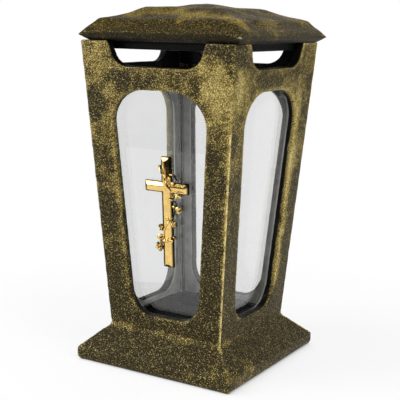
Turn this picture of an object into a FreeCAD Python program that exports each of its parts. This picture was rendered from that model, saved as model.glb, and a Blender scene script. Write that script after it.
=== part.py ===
"""Grave lantern: a flared aluminium casting, glazed on four sides, under a loose cast lid.

The lantern stands on z = 0 with the middle of its foot at the origin. The front, which
carries the cross, faces -Y. Everything is in millimetres.
"""
import FreeCAD, Part
import math
import os

Vector = FreeCAD.Vector

SIDES = ["front", "right", "back", "left"]
SIDE_TURN = 90

# Leaning body of the casting
waist_half = 53.8
waist_height = 29.8
rim_half = 71.6
rim_height = 269.3
wall_thickness = 8.0
hip_radius = 0.8
floor_drop = 1.8
floor_thickness = 6.0
fixing_hole_radius = 4.5

# Foot of the casting, which stops a little short of the lid's edge
foot_setback = 0.3
foot_undercut = 2.3
foot_sole_rise = 2.6
foot_edge_height = 10.4
foot_edge_round = 2.2
foot_wall = 6.0
cove_radius = 5.0

# Windows, measured on the outer face
window_sill = 13.9
column_width = 22.4
window_top_corner_across = 34.0
window_top_corner_down = 29.5
window_bottom_corner_across = 18.0
window_bottom_corner_up = 21.0
window_bevel = 1.7

# Vent notches in the rim, measured on the outer face
vent_column = 26.2
vent_slant = 6.7
vent_depth = 19.8
vent_corner_across = 12.0
vent_corner_up = 9.5
vent_bevel = 1.0

# Glazing
pane_thickness = 4.0
pane_overlap = 7.0
pane_side_gap = 0.8
pane_corner = 2.0
bedding_thickness = 0.8
bedding_setback = 1.0
bedding_inset = 0.5
seat_gap = 0.3

# Lip that keeps the foot of each pane against its wall
lip_thickness = 2.5
lip_height = 3.0
lip_half_length = 24.0

# Clips and screws that hold the head of each pane
clip_width = 9.0
clip_height = 10.0
clip_thickness = 1.0
clip_spacing = 50.0
clip_tongue = 5.0
clip_pane_gap = 0.4
clip_vent_gap = 0.8
screw_radius = 1.45
screw_hole_radius = 1.5
clip_hole_radius = 1.7
screw_head_radius = 2.6
screw_head_height = 1.8
screw_depth = 4.6
screw_hole_spare = 0.8

# Lid, which lies on the rim with some play
lid_play = 3.2
lid_seat_inset = 2.8
lid_overhang = 3.4
lid_edge_rise = 4.4
lid_rise = 30.7
lid_shell = 4.6
lid_round = 2.4
skirt_thickness = 3.2
skirt_drop = 6.6

# Cross on the front pane
cross_offset = 3.35
cross_above_sill = 43.6
cross_length = 92.0
beam_head_width = 9.2
beam_foot_width = 9.8
bar_length = 41.0
bar_width = 9.0
bar_height_on_beam = 67.0
cross_depth = 4.4
cross_side_depth = 2.6
cross_flat_share = 0.3
pad_thickness = 0.8
pad_inset = 1.2

# Rose vine on the cross
stem_radius = 0.75
stem_lift = 0.5
leaf_thickness = 0.9
leaf_length = 9.4
leaf_width = 5.4
rose_radius = 3.0
rose_petal_radius = 0.9
bud_radius = 1.5

# One overrun serves every cut
overrun = 5.0

# How far a cubic curve's inner points stand towards the corner that it rounds
corner_curve_share = 0.55

# Steps and flats of the lid's outline: share of the edge's half width, share of the lid's rise
lid_step_shares = [(0.838, 0.56), (0.69, 0.655), (0.60, 0.736), (0.478, 0.866)]
lid_crown_shares = [(0.268, 0.889), (0.102, 0.964)]

# Places on the vine: share of the bar's length from the beam's middle, share of the beam's
# length from its bottom end, and for roses and leaves the share of the full size
upper_stem_shares = [
    (-0.14, 0.92), (-0.09, 0.875), (-0.02, 0.835), (0.01, 0.795), (0.04, 0.75), (0.12, 0.715),
    (0.20, 0.675),
]
lower_stem_shares = [
    (0.08, 0.633), (0.15, 0.611), (0.21, 0.59), (0.175, 0.525), (0.125, 0.46), (0.05, 0.414),
    (-0.015, 0.374), (-0.055, 0.33), (-0.08, 0.255), (-0.15, 0.205),
]
tendril_shares = [(0.115, 0.85), (0.18, 0.843), (0.215, 0.814), (0.27, 0.795)]
rose_shares = [(0.09, 0.797, 1), (0.16, 0.405, 1), (-0.145, 0.361, 0.95), (-0.195, 0.183, 1.25)]
bud_shares = [
    (0.18, 0.772), (0.14, 0.652), (0.275, 0.661), (0.16, 0.56), (0.035, 0.453),
    (-0.02, 0.253), (0.025, 0.257), (0.11, 0.257), (0.155, 0.278), (-0.13, 0.905),
]
leaf_shares = [(0.17, 0.518, 1), (-0.05, 0.30, 0.8), (-0.12, 0.262, 0.6), (0.215, 0.675, 0.7)]
leaf_angles = [23, 205, 250, -12]

lid_edge_half = rim_half + lid_overhang
foot_half = lid_edge_half - foot_setback
foot_sole_half = foot_half - foot_undercut
floor_height = waist_height - floor_drop
window_bottom = waist_height + window_sill

lean = math.atan2(rim_half - waist_half, rim_height - waist_height)
face_offset = waist_half - waist_height * math.tan(lean)
glass_depth = wall_thickness + bedding_thickness
inside_depth = glass_depth + pane_thickness
ledge_depth = inside_depth + seat_gap + lip_thickness
cross_back_depth = glass_depth - pad_thickness

# Distances up a wall's slope, from the ground to the rim
rim_climb = rim_height / math.cos(lean)
vent_floor_climb = rim_climb - vent_depth
clip_high = vent_floor_climb - clip_vent_gap
pane_head = clip_high - clip_height - clip_pane_gap
window_high = pane_head - pane_overlap
window_low = window_bottom / math.cos(lean)
pane_foot = window_low - pane_overlap
screw_climb = pane_head + clip_pane_gap + clip_height / 2
cross_foot = window_low + cross_above_sill


def face_half(height):
    """Half width of the body's outer faces at a height."""
    return face_offset + height * math.tan(lean)


def point_xz(x, z):
    """Point in the drawing plane y = 0."""
    return Vector(x, 0, z)


def rounded_wire(corners):
    """Closed wire through (x, z, radius) corners, each rounded by an arc of its radius."""
    count = len(corners)
    starts = []
    ends = []
    middles = []
    for index, (x, z, radius) in enumerate(corners):
        corner = point_xz(x, z)
        before = point_xz(*corners[index - 1][:2]) - corner
        after = point_xz(*corners[(index + 1) % count][:2]) - corner
        before.normalize()
        after.normalize()
        half_angle = before.getAngle(after) / 2
        setback = radius / math.tan(half_angle)
        to_arc = radius / math.sin(half_angle) - radius
        bisector = before + after
        bisector.normalize()
        starts.append(corner + before * setback)
        ends.append(corner + after * setback)
        middles.append(corner + bisector * to_arc)
    edges = []
    for index in range(count):
        if corners[index][2] > 0:
            edges.append(Part.Arc(starts[index], middles[index], ends[index]).toShape())
        edges.append(Part.makeLine(ends[index], starts[(index + 1) % count]))
    return Part.Wire(edges)


def curved_wire(corners):
    """Closed wire through (x, z, cut before, cut after) corners, rounded by cubic curves."""
    count = len(corners)
    starts = []
    ends = []
    for index, (x, z, cut_before, cut_after) in enumerate(corners):
        corner = point_xz(x, z)
        before = point_xz(*corners[index - 1][:2]) - corner
        after = point_xz(*corners[(index + 1) % count][:2]) - corner
        before.normalize()
        after.normalize()
        starts.append(corner + before * cut_before)
        ends.append(corner + after * cut_after)
    edges = []
    for index in range(count):
        corner = point_xz(*corners[index][:2])
        if corners[index][2] > 0:
            curve = Part.BezierCurve()
            curve.setPoles([
                starts[index],
                starts[index] + (corner - starts[index]) * corner_curve_share,
                ends[index] + (corner - ends[index]) * corner_curve_share,
                ends[index],
            ])
            edges.append(curve.toShape())
        edges.append(Part.makeLine(ends[index], starts[(index + 1) % count]))
    return Part.Wire(edges)


def plate(wire, depth_from, depth_to):
    """Solid plate of a wire's outline between two depths along Y."""
    face = Part.Face(wire)
    face.translate(Vector(0, depth_from, 0))
    return face.extrude(Vector(0, depth_to - depth_from, 0))


def square_solid(profile):
    """Solid of square sections whose half width follows (half, height, radius) corners."""
    mirrored = [(-half, height, radius) for half, height, radius in reversed(profile) if half > 0]
    reach = max(half for half, height, radius in profile) + overrun
    across = plate(rounded_wire(profile + mirrored), -reach, reach)
    along = across.copy()
    along.rotate(Vector(0, 0, 0), Vector(0, 0, 1), SIDE_TURN)
    return across.common(along)


def hip_edges(solid):
    """Edges of a square solid that climb along its four corners."""
    hips = []
    for edge in solid.Edges:
        first, last = edge.Vertexes[0].Point, edge.Vertexes[-1].Point
        climbs = abs(first.z - last.z) > foot_sole_rise / 2
        on_corner = all(abs(abs(p.x) - abs(p.y)) < seat_gap / 2 for p in (first, last))
        if climbs and on_corner:
            hips.append(edge)
    return hips


def on_wall(shape, side):
    """Copy of a shape drawn in wall axes, set on one side of the body.

    In wall axes x runs across the wall, y goes in from its outer face and z climbs its slope.
    """
    placed = shape.copy()
    placed.rotate(Vector(0, 0, 0), Vector(1, 0, 0), math.degrees(lean))
    placed.translate(Vector(0, -face_offset, 0))
    placed.rotate(Vector(0, 0, 0), Vector(0, 0, 1), SIDE_TURN * SIDES.index(side))
    return placed


def wall_half(climb):
    """Half width of a wall's outer face at a distance up its slope."""
    return face_offset + climb * math.sin(lean)


def opening_wire(grow):
    """Outline of a window on its wall, grown outwards by a margin."""
    low = window_low - grow
    high = window_high + grow
    low_half = wall_half(low) - column_width + grow
    high_half = wall_half(high) - column_width + grow
    return curved_wire([
        (low_half, low, window_bottom_corner_across, window_bottom_corner_up),
        (high_half, high, window_top_corner_down, window_top_corner_across),
        (-high_half, high, window_top_corner_across, window_top_corner_down),
        (-low_half, low, window_bottom_corner_up, window_bottom_corner_across),
    ])


def pane_wire(inset):
    """Outline of a pane on its wall, drawn inwards by an inset.

    Its sides stop short of the panes of the neighbouring walls.
    """
    low = pane_foot + inset
    high = pane_head - inset
    low_half = wall_half(low) - inside_depth - pane_side_gap - inset
    high_half = wall_half(high) - inside_depth - pane_side_gap - inset
    return rounded_wire([
        (low_half, low, pane_corner),
        (high_half, high, pane_corner),
        (-high_half, high, pane_corner),
        (-low_half, low, pane_corner),
    ])


def vent_wire():
    """Outline of a vent notch on its wall, open above the rim."""
    top_half = rim_half - vent_column
    bottom_half = top_half - vent_slant
    past_rim = rim_climb + overrun + wall_thickness * math.tan(lean)
    past_half = top_half + (past_rim - rim_climb) * vent_slant / vent_depth
    return curved_wire([
        (bottom_half, vent_floor_climb, vent_corner_across, vent_corner_up),
        (past_half, past_rim, 0, 0),
        (-past_half, past_rim, 0, 0),
        (-bottom_half, vent_floor_climb, vent_corner_up, vent_corner_across),
    ])


def mouth_edges(body, low, high):
    """Edges where the openings between two heights leave the body's outer faces."""
    found = []
    for edge in body.Edges:
        middle = Part.Vertex(edge.CenterOfMass)
        for side in SIDES:
            spot = middle.copy()
            spot.rotate(Vector(0, 0, 0), Vector(0, 0, 1), -SIDE_TURN * SIDES.index(side))
            in_face = abs(spot.Y + face_half(spot.Z)) < seat_gap / 10
            in_columns = abs(spot.X) < face_half(spot.Z) - column_width + seat_gap
            if in_face and in_columns and low - seat_gap < spot.Z < high - seat_gap:
                found.append(edge)
    return found


def ledge_height():
    """Height of the ledge inside the body that the panes stand on."""
    return pane_foot * math.cos(lean) + glass_depth * math.sin(lean) - seat_gap


def clip_places():
    """Middles of the clips across a wall."""
    return [-clip_spacing / 2, clip_spacing / 2]


def outer_profile():
    """Outer profile of the casting: foot edge, slope, cove and leaning wall."""
    return [
        (foot_sole_half, 0, 0),
        (foot_half, foot_sole_rise, 0),
        (foot_half, foot_edge_height, foot_edge_round),
        (waist_half, waist_height, cove_radius),
        (rim_half, rim_height, 0),
    ]


def cavity_profile():
    """Profile of the room inside: floor, ledge for the panes and leaning wall."""
    ledge = ledge_height()
    past_rim = rim_height + overrun
    inner_offset = wall_thickness / math.cos(lean)
    ledge_offset = ledge_depth / math.cos(lean)
    return [
        (face_half(floor_height) - ledge_offset, floor_height, 0),
        (face_half(ledge) - ledge_offset, ledge, 0),
        (face_half(ledge) - inner_offset, ledge, 0),
        (face_half(past_rim) - inner_offset, past_rim, 0),
    ]


def foot_hollow_profile():
    """Profile of the hollow under the floor, one foot wall inside the outer profile."""
    slope = math.atan2(waist_height - foot_edge_height, foot_half - waist_half)
    ceiling = floor_height - floor_thickness
    side_half = foot_sole_half - foot_wall
    slope_foot = foot_edge_height - foot_wall / math.cos(slope)
    side_height = slope_foot + (foot_half - side_half) * math.tan(slope)
    top_half = side_half - (ceiling - side_height) / math.tan(slope)
    return [
        (side_half, -overrun, 0),
        (side_half, side_height, 0),
        (top_half, ceiling, 0),
    ]


def make_body():
    """Cast body with its foot, windows, vents, pane ledge, lips and screw holes."""
    body = square_solid(outer_profile())
    body = body.makeFillet(hip_radius, hip_edges(body))
    body = body.cut(square_solid(cavity_profile()))
    body = body.cut(square_solid(foot_hollow_profile()))
    window = plate(opening_wire(0), -overrun, wall_thickness + overrun)
    vent = plate(vent_wire(), -overrun, wall_thickness + overrun)
    for side in SIDES:
        body = body.cut(on_wall(window, side))
        body = body.cut(on_wall(vent, side))
    vent_floor = vent_floor_climb * math.cos(lean)
    body = body.makeFillet(window_bevel, mouth_edges(body, window_bottom, vent_floor))
    body = body.makeFillet(vent_bevel, mouth_edges(body, vent_floor, rim_height))
    body = body.cut(Part.makeCylinder(
        fixing_hole_radius, floor_height + overrun, Vector(0, 0, 0), Vector(0, 0, 1)))
    for side in SIDES:
        body = body.fuse(on_wall(make_lip(), side))
        for place in clip_places():
            body = body.cut(on_wall(screw_hole(place), side))
    return body.removeSplitter()


def make_lip():
    """Upstand on the ledge behind the foot of a pane, in wall axes."""
    depth = inside_depth + seat_gap
    root = (ledge_height() - depth * math.sin(lean)) / math.cos(lean) - lip_height / 2
    tip = pane_foot + lip_height
    return Part.makeBox(
        2 * lip_half_length, lip_thickness, tip - root, Vector(-lip_half_length, depth, root))


def screw_hole(place):
    """Blind hole for a clip screw, in wall axes."""
    mouth = wall_thickness + overrun
    length = overrun + screw_depth + screw_hole_spare
    return Part.makeCylinder(
        screw_hole_radius, length, Vector(place, mouth, screw_climb), Vector(0, -1, 0))


def make_pane():
    """Glass pane, in wall axes."""
    return plate(pane_wire(0), glass_depth, inside_depth)


def make_bedding():
    """Sealing bed between a pane and its wall, in wall axes."""
    ring = plate(pane_wire(bedding_inset), wall_thickness, glass_depth)
    return ring.cut(plate(opening_wire(bedding_setback), -overrun, inside_depth))


def make_clip(place):
    """Cranked clip over the head of a pane, in wall axes."""
    web_low = pane_head + clip_pane_gap
    web_high = web_low + clip_thickness
    tongue_back = inside_depth + clip_thickness
    corners = [
        (wall_thickness, web_low),
        (inside_depth, web_low),
        (inside_depth, pane_head - clip_tongue),
        (tongue_back, pane_head - clip_tongue),
        (tongue_back, web_high),
        (wall_thickness + clip_thickness, web_high),
        (wall_thickness + clip_thickness, clip_high),
        (wall_thickness, clip_high),
    ]
    start = place - clip_width / 2
    points = [Vector(start, depth, climb) for depth, climb in corners]
    section = Part.Face(Part.makePolygon(points + points[:1]))
    clip = section.extrude(Vector(clip_width, 0, 0))
    hole = Part.makeCylinder(
        clip_hole_radius, 2 * overrun,
        Vector(place, wall_thickness - overrun, screw_climb), Vector(0, 1, 0))
    return clip.cut(hole)


def make_screw(place):
    """Pan head screw of a clip, in wall axes."""
    under_head = wall_thickness + clip_thickness
    seat = Vector(place, under_head, screw_climb)
    shank = Part.makeCylinder(screw_radius, screw_depth + clip_thickness, seat, Vector(0, -1, 0))
    head = Part.makeCylinder(screw_head_radius, screw_head_height, seat, Vector(0, 1, 0))
    head = head.makeFillet(screw_head_height / 2, [
        edge for edge in head.Edges if edge.CenterOfMass.y > under_head + screw_head_height / 2
        and edge.Closed and len(edge.Vertexes) == 1])
    return shank.fuse(head).removeSplitter()


def lid_place(half_share, rise_share):
    """Half width and height of a point of the lid's outline from its shares."""
    return lid_edge_half * half_share, rim_height + lid_rise * rise_share


def lid_profile():
    """Outer profile of the lid: undercut edge, steep band, hollow tier and low crown."""
    steps = [(*lid_place(*shares), lid_round) for shares in lid_step_shares]
    crown = [(*lid_place(*shares), 0) for shares in lid_crown_shares]
    return [
        (rim_half - lid_seat_inset, rim_height, 0),
        (lid_edge_half, rim_height + lid_edge_rise, 0),
        *steps,
        *crown,
        (0, rim_height + lid_rise, 0),
    ]


def skirt_half():
    """Half width of the skirt, which limits the lid's play inside the leaning walls."""
    inner_half = face_half(rim_height - skirt_drop) - wall_thickness / math.cos(lean)
    return inner_half - lid_play - seat_gap


def lid_hollow_profile():
    """Profile of the hollow under the lid, inside its skirt and one shell under its top."""
    shoulder, *upper_shares = lid_step_shares + lid_crown_shares[:1]
    shoulder_height = lid_place(*shoulder)[1]
    side_half = skirt_half() - skirt_thickness
    ceiling = [lid_place(*shares) for shares in upper_shares]
    return [
        (side_half, rim_height - overrun, 0),
        (side_half, shoulder_height - 2 * lid_shell, 0),
        *[(half, height - lid_shell, 0) for half, height in ceiling],
    ]


def make_lid():
    """Cast lid with its hollow underside and the square skirt that drops into the body."""
    lid = square_solid(lid_profile()).cut(square_solid(lid_hollow_profile()))
    skirt_foot = rim_height - skirt_drop
    outer_half = skirt_half()
    inner_half = outer_half - skirt_thickness
    skirt = Part.makeBox(
        2 * outer_half, 2 * outer_half, skirt_drop + lid_edge_rise,
        Vector(-outer_half, -outer_half, skirt_foot))
    skirt = skirt.cut(Part.makeBox(
        2 * inner_half, 2 * inner_half, skirt_drop + lid_edge_rise + 2 * overrun,
        Vector(-inner_half, -inner_half, skirt_foot - overrun)))
    lid = lid.fuse(skirt).removeSplitter()
    lid.translate(Vector(lid_play, 0, 0))
    return lid


def bevelled_bar(foot_width, head_width, length):
    """Bar along Z, bevelled to a flat front, with its back on y = 0 and its foot on z = 0."""
    def outline(depth, inset):
        foot = foot_width / 2 - inset
        head = head_width / 2 - inset
        corners = [(-foot, inset), (foot, inset), (head, length - inset), (-head, length - inset)]
        points = [Vector(x, -depth, z) for x, z in corners]
        return Part.makePolygon(points + points[:1])

    bevel = head_width / 2 * (1 - cross_flat_share)
    outlines = [outline(0, 0), outline(cross_side_depth, 0), outline(cross_depth, bevel)]
    return Part.makeLoft(outlines, True, True)


def make_cross():
    """Cross of two bevelled bars, in wall axes."""
    beam = bevelled_bar(beam_foot_width, beam_head_width, cross_length)
    beam.translate(Vector(cross_offset, cross_back_depth, cross_foot))
    bar = bevelled_bar(bar_width, bar_width, bar_length)
    bar.rotate(Vector(0, 0, 0), Vector(0, 1, 0), SIDE_TURN)
    bar.translate(Vector(
        cross_offset - bar_length / 2, cross_back_depth, cross_foot + bar_height_on_beam))
    return beam.fuse(bar).removeSplitter()


def make_pads():
    """Adhesive pads behind the cross, in wall axes: one on the beam, one on each arm."""
    beam_half = beam_head_width / 2 - pad_inset
    bar_half = bar_width / 2 - pad_inset
    crossing = cross_foot + bar_height_on_beam
    pads = [Part.makeBox(
        2 * beam_half, pad_thickness, cross_length - 2 * pad_inset,
        Vector(cross_offset - beam_half, cross_back_depth, cross_foot + pad_inset))]
    arm_length = (bar_length - beam_foot_width) / 2 - 2 * pad_inset
    left_start = cross_offset - bar_length / 2 + pad_inset
    right_start = cross_offset + beam_foot_width / 2 + pad_inset
    for start in (left_start, right_start):
        corner = Vector(start, cross_back_depth, crossing - bar_half)
        pads.append(Part.makeBox(arm_length, pad_thickness, 2 * bar_half, corner))
    return pads


def vine_place(across_share, up_share):
    """Point of the vine in wall axes: over the cross, or lower beside it."""
    across = bar_length * across_share
    up = cross_length * up_share
    on_beam = abs(across) < beam_foot_width / 2
    on_bar = abs(up - bar_height_on_beam) < bar_width / 2 + stem_radius
    if on_beam or on_bar:
        lift = cross_depth + stem_lift
    else:
        lift = cross_side_depth - stem_lift
    return Vector(cross_offset + across, cross_back_depth - lift, cross_foot + up)


def make_stem(shares):
    """Stem of the vine as a round rod that bends sharply at each place, in wall axes."""
    points = [vine_place(*place) for place in shares]
    section = Part.Wire(Part.makeCircle(stem_radius, points[0], points[1] - points[0]))
    as_solid, as_frenet, sharp_corners = True, False, 1
    return Part.makePolygon(points).makePipeShell([section], as_solid, as_frenet, sharp_corners)


def make_leaf(across_share, up_share, size_share, angle):
    """Pointed leaf that starts at a place and points along an angle, in wall axes."""
    length = leaf_length * size_share
    bulge = leaf_width * size_share / 2
    stalk, tip = Vector(0, 0, 0), Vector(length, 0, 0)
    upper = Part.Arc(stalk, Vector(length / 2, 0, bulge), tip)
    lower = Part.Arc(tip, Vector(length / 2, 0, -bulge), stalk)
    leaf = plate(Part.Wire([upper.toShape(), lower.toShape()]), -leaf_thickness / 2, leaf_thickness / 2)
    leaf.rotate(stalk, Vector(0, 1, 0), -angle)
    leaf.translate(vine_place(across_share, up_share))
    return leaf


def ball(radius, centre):
    """Ball of the vine, in wall axes, with its poles clear of the stems that run into it."""
    return Part.makeSphere(radius, centre, Vector(0, 1, 0))


def make_rose(across_share, up_share, size_share):
    """Rose as a ball inside a ring of petals, in wall axes."""
    centre = vine_place(across_share, up_share)
    petal = rose_petal_radius * size_share
    ring = rose_radius * size_share - petal
    heart = ball(ring, centre)
    return heart.fuse(Part.makeTorus(ring, petal, centre, Vector(0, 1, 0)))


def make_vine():
    """Rose vine that winds round the cross, cut clear of it, in wall axes."""
    pieces = [make_stem(shares) for shares in (upper_stem_shares, lower_stem_shares, tendril_shares)]
    pieces += [make_leaf(*place, angle) for place, angle in zip(leaf_shares, leaf_angles)]
    pieces += [make_rose(*place) for place in rose_shares]
    pieces += [ball(bud_radius, vine_place(*place)) for place in bud_shares]
    vine = pieces[0].multiFuse(pieces[1:])
    return vine.cut(make_cross()).Solids


def save(name, shapes):
    """Write one node's solids to its STEP file."""
    solids = [solid for shape in shapes for solid in shape.Solids]
    node = solids[0] if len(solids) == 1 else Part.makeCompound(solids)
    node.exportStep("parts/" + name + ".step")
    print(name, len(solids), "solids, volume", round(sum(solid.Volume for solid in solids)))


os.makedirs("parts", exist_ok=True)
save("body_casting", [make_body()])
save("lid_casting", [make_lid()])
for side in SIDES:
    save(side + "_pane", [on_wall(make_pane(), side)])
    save(side + "_pane_bedding", [on_wall(make_bedding(), side)])
    save(side + "_pane_clips", [on_wall(make_clip(place), side) for place in clip_places()])
save("clip_screws", [on_wall(make_screw(place), side) for side in SIDES for place in clip_places()])
save("cross_ornament", [on_wall(make_cross(), "front")])
save("rose_vine", [on_wall(solid, "front") for solid in make_vine()])
save("ornament_pads", [on_wall(pad, "front") for pad in make_pads()])
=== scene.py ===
"""Looks of the grave lantern.

The lantern is a casting painted black and sponged with gold, glazed on four sides, under a
loose cast lid. A gilt cross with a rose vine stands on the front pane. It rests on z = 0, its
front faces -Y, and every length is in metres.
"""

import logging
import math
from dataclasses import dataclass, field
from enum import Enum
from typing import Any, Sequence

import bmesh
import bpy
import numpy as np
from mathutils import Matrix, Vector


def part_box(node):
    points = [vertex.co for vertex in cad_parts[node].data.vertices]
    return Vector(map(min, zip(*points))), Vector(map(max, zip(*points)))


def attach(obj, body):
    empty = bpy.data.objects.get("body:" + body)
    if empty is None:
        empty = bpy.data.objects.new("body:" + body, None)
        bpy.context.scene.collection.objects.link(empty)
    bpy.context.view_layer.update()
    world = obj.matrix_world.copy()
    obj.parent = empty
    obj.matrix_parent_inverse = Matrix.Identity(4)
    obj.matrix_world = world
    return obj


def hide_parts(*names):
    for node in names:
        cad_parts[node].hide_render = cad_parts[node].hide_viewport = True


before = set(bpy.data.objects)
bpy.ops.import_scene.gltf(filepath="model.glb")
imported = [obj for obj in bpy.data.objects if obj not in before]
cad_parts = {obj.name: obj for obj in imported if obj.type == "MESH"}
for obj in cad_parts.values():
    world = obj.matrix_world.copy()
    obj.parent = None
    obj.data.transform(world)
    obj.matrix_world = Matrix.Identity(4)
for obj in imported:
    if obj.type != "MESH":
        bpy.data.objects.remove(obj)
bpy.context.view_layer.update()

MM = 0.001

log = logging.getLogger("grave_lantern")

Colour = tuple[float, float, float]
Ring = list[Vector]


class Side(Enum):
    """Sides of the lantern, by quarter turns from the front."""

    FRONT = 0
    RIGHT = 1
    BACK = 2
    LEFT = 3


class Body(Enum):
    """Bodies of the lantern that pieces ride on."""

    LANTERN = "lantern_body"
    LID = "lid"


class Draw(Enum):
    """Seeds of the random waves, one for each use."""

    PATCH_EDGE = 5
    WINDOW_RIM = 8
    BODY_WAVES = 11
    GOLD_REACH = 17
    LID_SHADE = 23
    LID_WAVES = 31


class Slot(Enum):
    """Material slots of the record that new pieces take."""

    CASTING = "speckled_casting"
    SCREW = "screw_steel"
    GOLD = "polished_gold"


def srgb(red: int, green: int, blue: int) -> Colour:
    """Linear colour of an eight bit screen colour.

    Args:
        red: its red channel, from 0 to 255.
        green: its green channel.
        blue: its blue channel.

    Returns:
        The three linear channels, from 0 to 1.
    """
    def linear(level: int) -> float:
        """One channel of it."""
        share = level / 255
        return share / 12.92 if share <= 0.04045 else ((share + 0.055) / 1.055) ** 2.4

    return linear(red), linear(green), linear(blue)


# Shader trees


@dataclass(frozen=True)
class Ramp:
    """Two values, and the levels that a smooth step has at them."""

    low: float
    high: float
    start: float = 0.0
    end: float = 1.0


class Tree:
    """Short calls that build a node tree."""

    def __init__(self, tree: bpy.types.NodeTree) -> None:
        """Take over a tree and clear it."""
        self.tree = tree
        tree.nodes.clear()

    def add(self, kind: str, inputs: dict[Any, Any] | None = None, **settings: Any) -> bpy.types.Node:
        """Add a node.

        Args:
            kind: the node's type name, without its ShaderNode.
            inputs: a value or a source socket for inputs, by name or place.
            settings: the node's own settings.

        Returns:
            The new node.
        """
        node = self.tree.nodes.new("ShaderNode" + kind)
        for name, value in settings.items():
            setattr(node, name, value)
        for key, value in (inputs or {}).items():
            if isinstance(value, bpy.types.NodeSocket):
                self.tree.links.new(value, node.inputs[key])
            elif isinstance(value, tuple) and node.inputs[key].type == "RGBA":
                node.inputs[key].default_value = (*value, 1.0)
            else:
                node.inputs[key].default_value = value
        return node

    def sum(self, operation: str, first: Any, second: Any = 0.0) -> bpy.types.NodeSocket:
        """Result of a Math node on two values or sockets."""
        return self.add("Math", {0: first, 1: second}, operation=operation).outputs[0]

    def step(
        self, value: Any, low: Any, high: Any, start: Any = 0.0, end: Any = 1.0,
    ) -> bpy.types.NodeSocket:
        """Smooth step of a value from start to end while it goes from low to high."""
        ends = {"Value": value, "From Min": low, "From Max": high, "To Min": start, "To Max": end}
        return self.add("MapRange", ends, interpolation_type="SMOOTHSTEP").outputs[0]

    def ramp(self, value: Any, ramp: Ramp) -> bpy.types.NodeSocket:
        """Smooth step of a value by a ramp."""
        return self.step(value, ramp.low, ramp.high, ramp.start, ramp.end)

    def mix(self, share: Any, first: Any, second: Any) -> bpy.types.NodeSocket:
        """Colour between two colours."""
        node = self.add("Mix", {0: share, 6: first, 7: second}, data_type="RGBA")
        return node.outputs[2]

    def noise(self, place: Any, scale: Any, detail: float, rough: float = 0.5) -> bpy.types.NodeSocket:
        """Value of a noise texture."""
        inputs = {"Vector": place, "Scale": scale, "Detail": detail, "Roughness": rough}
        return self.add("TexNoise", inputs).outputs[0]

    def group(self, shared: "SharedGroup", inputs: dict[str, Any]) -> bpy.types.Node:
        """Place a shared group with its own values."""
        return self.add("Group", inputs, node_tree=shared.tree())

    def place(self) -> bpy.types.NodeSocket:
        """Place of a point in the piece's own axes."""
        return self.add("TexCoord").outputs["Object"]

    def attribute(self, name: str) -> bpy.types.NodeSocket:
        """Value that a mesh carries at each of its points."""
        return self.add("Attribute", attribute_name=name).outputs["Fac"]


class SharedGroup:
    """A shader node group that several finishes use, built once."""

    name: str = ""
    inputs: dict[str, float] = {}
    outputs: tuple[str, ...] = ()

    def tree(self) -> bpy.types.NodeTree:
        """The group's tree, made at the first call.

        Returns:
            The tree.
        """
        made = bpy.data.node_groups.get(self.name)
        if made is None:
            made = bpy.data.node_groups.new(self.name, "ShaderNodeTree")
            face = made.interface
            face.new_socket("Place", in_out="INPUT", socket_type="NodeSocketVector")
            for name, value in self.inputs.items():
                socket = face.new_socket(name, in_out="INPUT", socket_type="NodeSocketFloat")
                socket.default_value = value
            for name in self.outputs:
                face.new_socket(name, in_out="OUTPUT", socket_type="NodeSocketFloat")
            sheet = Tree(made)
            given = made.nodes.new("NodeGroupInput").outputs
            result = made.nodes.new("NodeGroupOutput").inputs
            for name, socket in self.build(sheet, given).items():
                made.links.new(socket, result[name])
        return made

    def build(self, sheet: Tree, given: Any) -> dict[str, bpy.types.NodeSocket]:
        """Nodes of the group.

        Args:
            sheet: the group's tree.
            given: the group's input sockets, by name.

        Returns:
            The source of each output, by name.
        """
        raise NotImplementedError


class SpongedPaint(SharedGroup):
    """Fine speckle that a sponge leaves: where paint lies, its tone and how high it stands."""

    name = "sponged paint"
    inputs = {"Grain Scale": 800.0, "Cover": 0.5, "Softness": 0.1}
    outputs = ("Mask", "Tone", "Height")
    shift = 0.4 * MM

    def build(self, sheet: Tree, given: Any) -> dict[str, bpy.types.NodeSocket]:
        """Ragged grains, each with a chance of its own to hold paint.

        Args:
            sheet: the group's tree.
            given: the group's input sockets, by name.

        Returns:
            The source of each output, by name.
        """
        ragged = sheet.add(
            "TexNoise", {"Vector": given["Place"], "Scale": given["Grain Scale"], "Detail": 1.0})
        shifted = sheet.add(
            "VectorMath",
            {0: ragged.outputs["Color"], 1: (self.shift, self.shift, self.shift), 2: given["Place"]},
            operation="MULTIPLY_ADD")
        grains = sheet.add(
            "TexVoronoi", {"Vector": shifted.outputs["Vector"], "Scale": given["Grain Scale"]})
        draws = sheet.add("SeparateXYZ", {0: grains.outputs["Color"]}).outputs
        low = sheet.sum("SUBTRACT", given["Cover"], given["Softness"])
        high = sheet.sum("ADD", given["Cover"], given["Softness"])
        mask = sheet.step(draws["X"], low, high, 1.0, 0.0)
        height = sheet.sum("ADD", draws["X"], ragged.outputs[0])
        return {"Mask": mask, "Tone": draws["Y"], "Height": height}


class Clouds(SharedGroup):
    """Slow change of a value over a surface."""

    name = "clouds"
    inputs = {"Scale": 40.0, "Low": 0.0, "High": 1.0}
    outputs = ("Value",)
    least = 0.35
    most = 0.65

    def build(self, sheet: Tree, given: Any) -> dict[str, bpy.types.NodeSocket]:
        """One soft noise between the low and the high value."""
        cloud = sheet.noise(given["Place"], given["Scale"], detail=2.0, rough=0.55)
        return {"Value": sheet.step(cloud, self.least, self.most, given["Low"], given["High"])}


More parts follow.
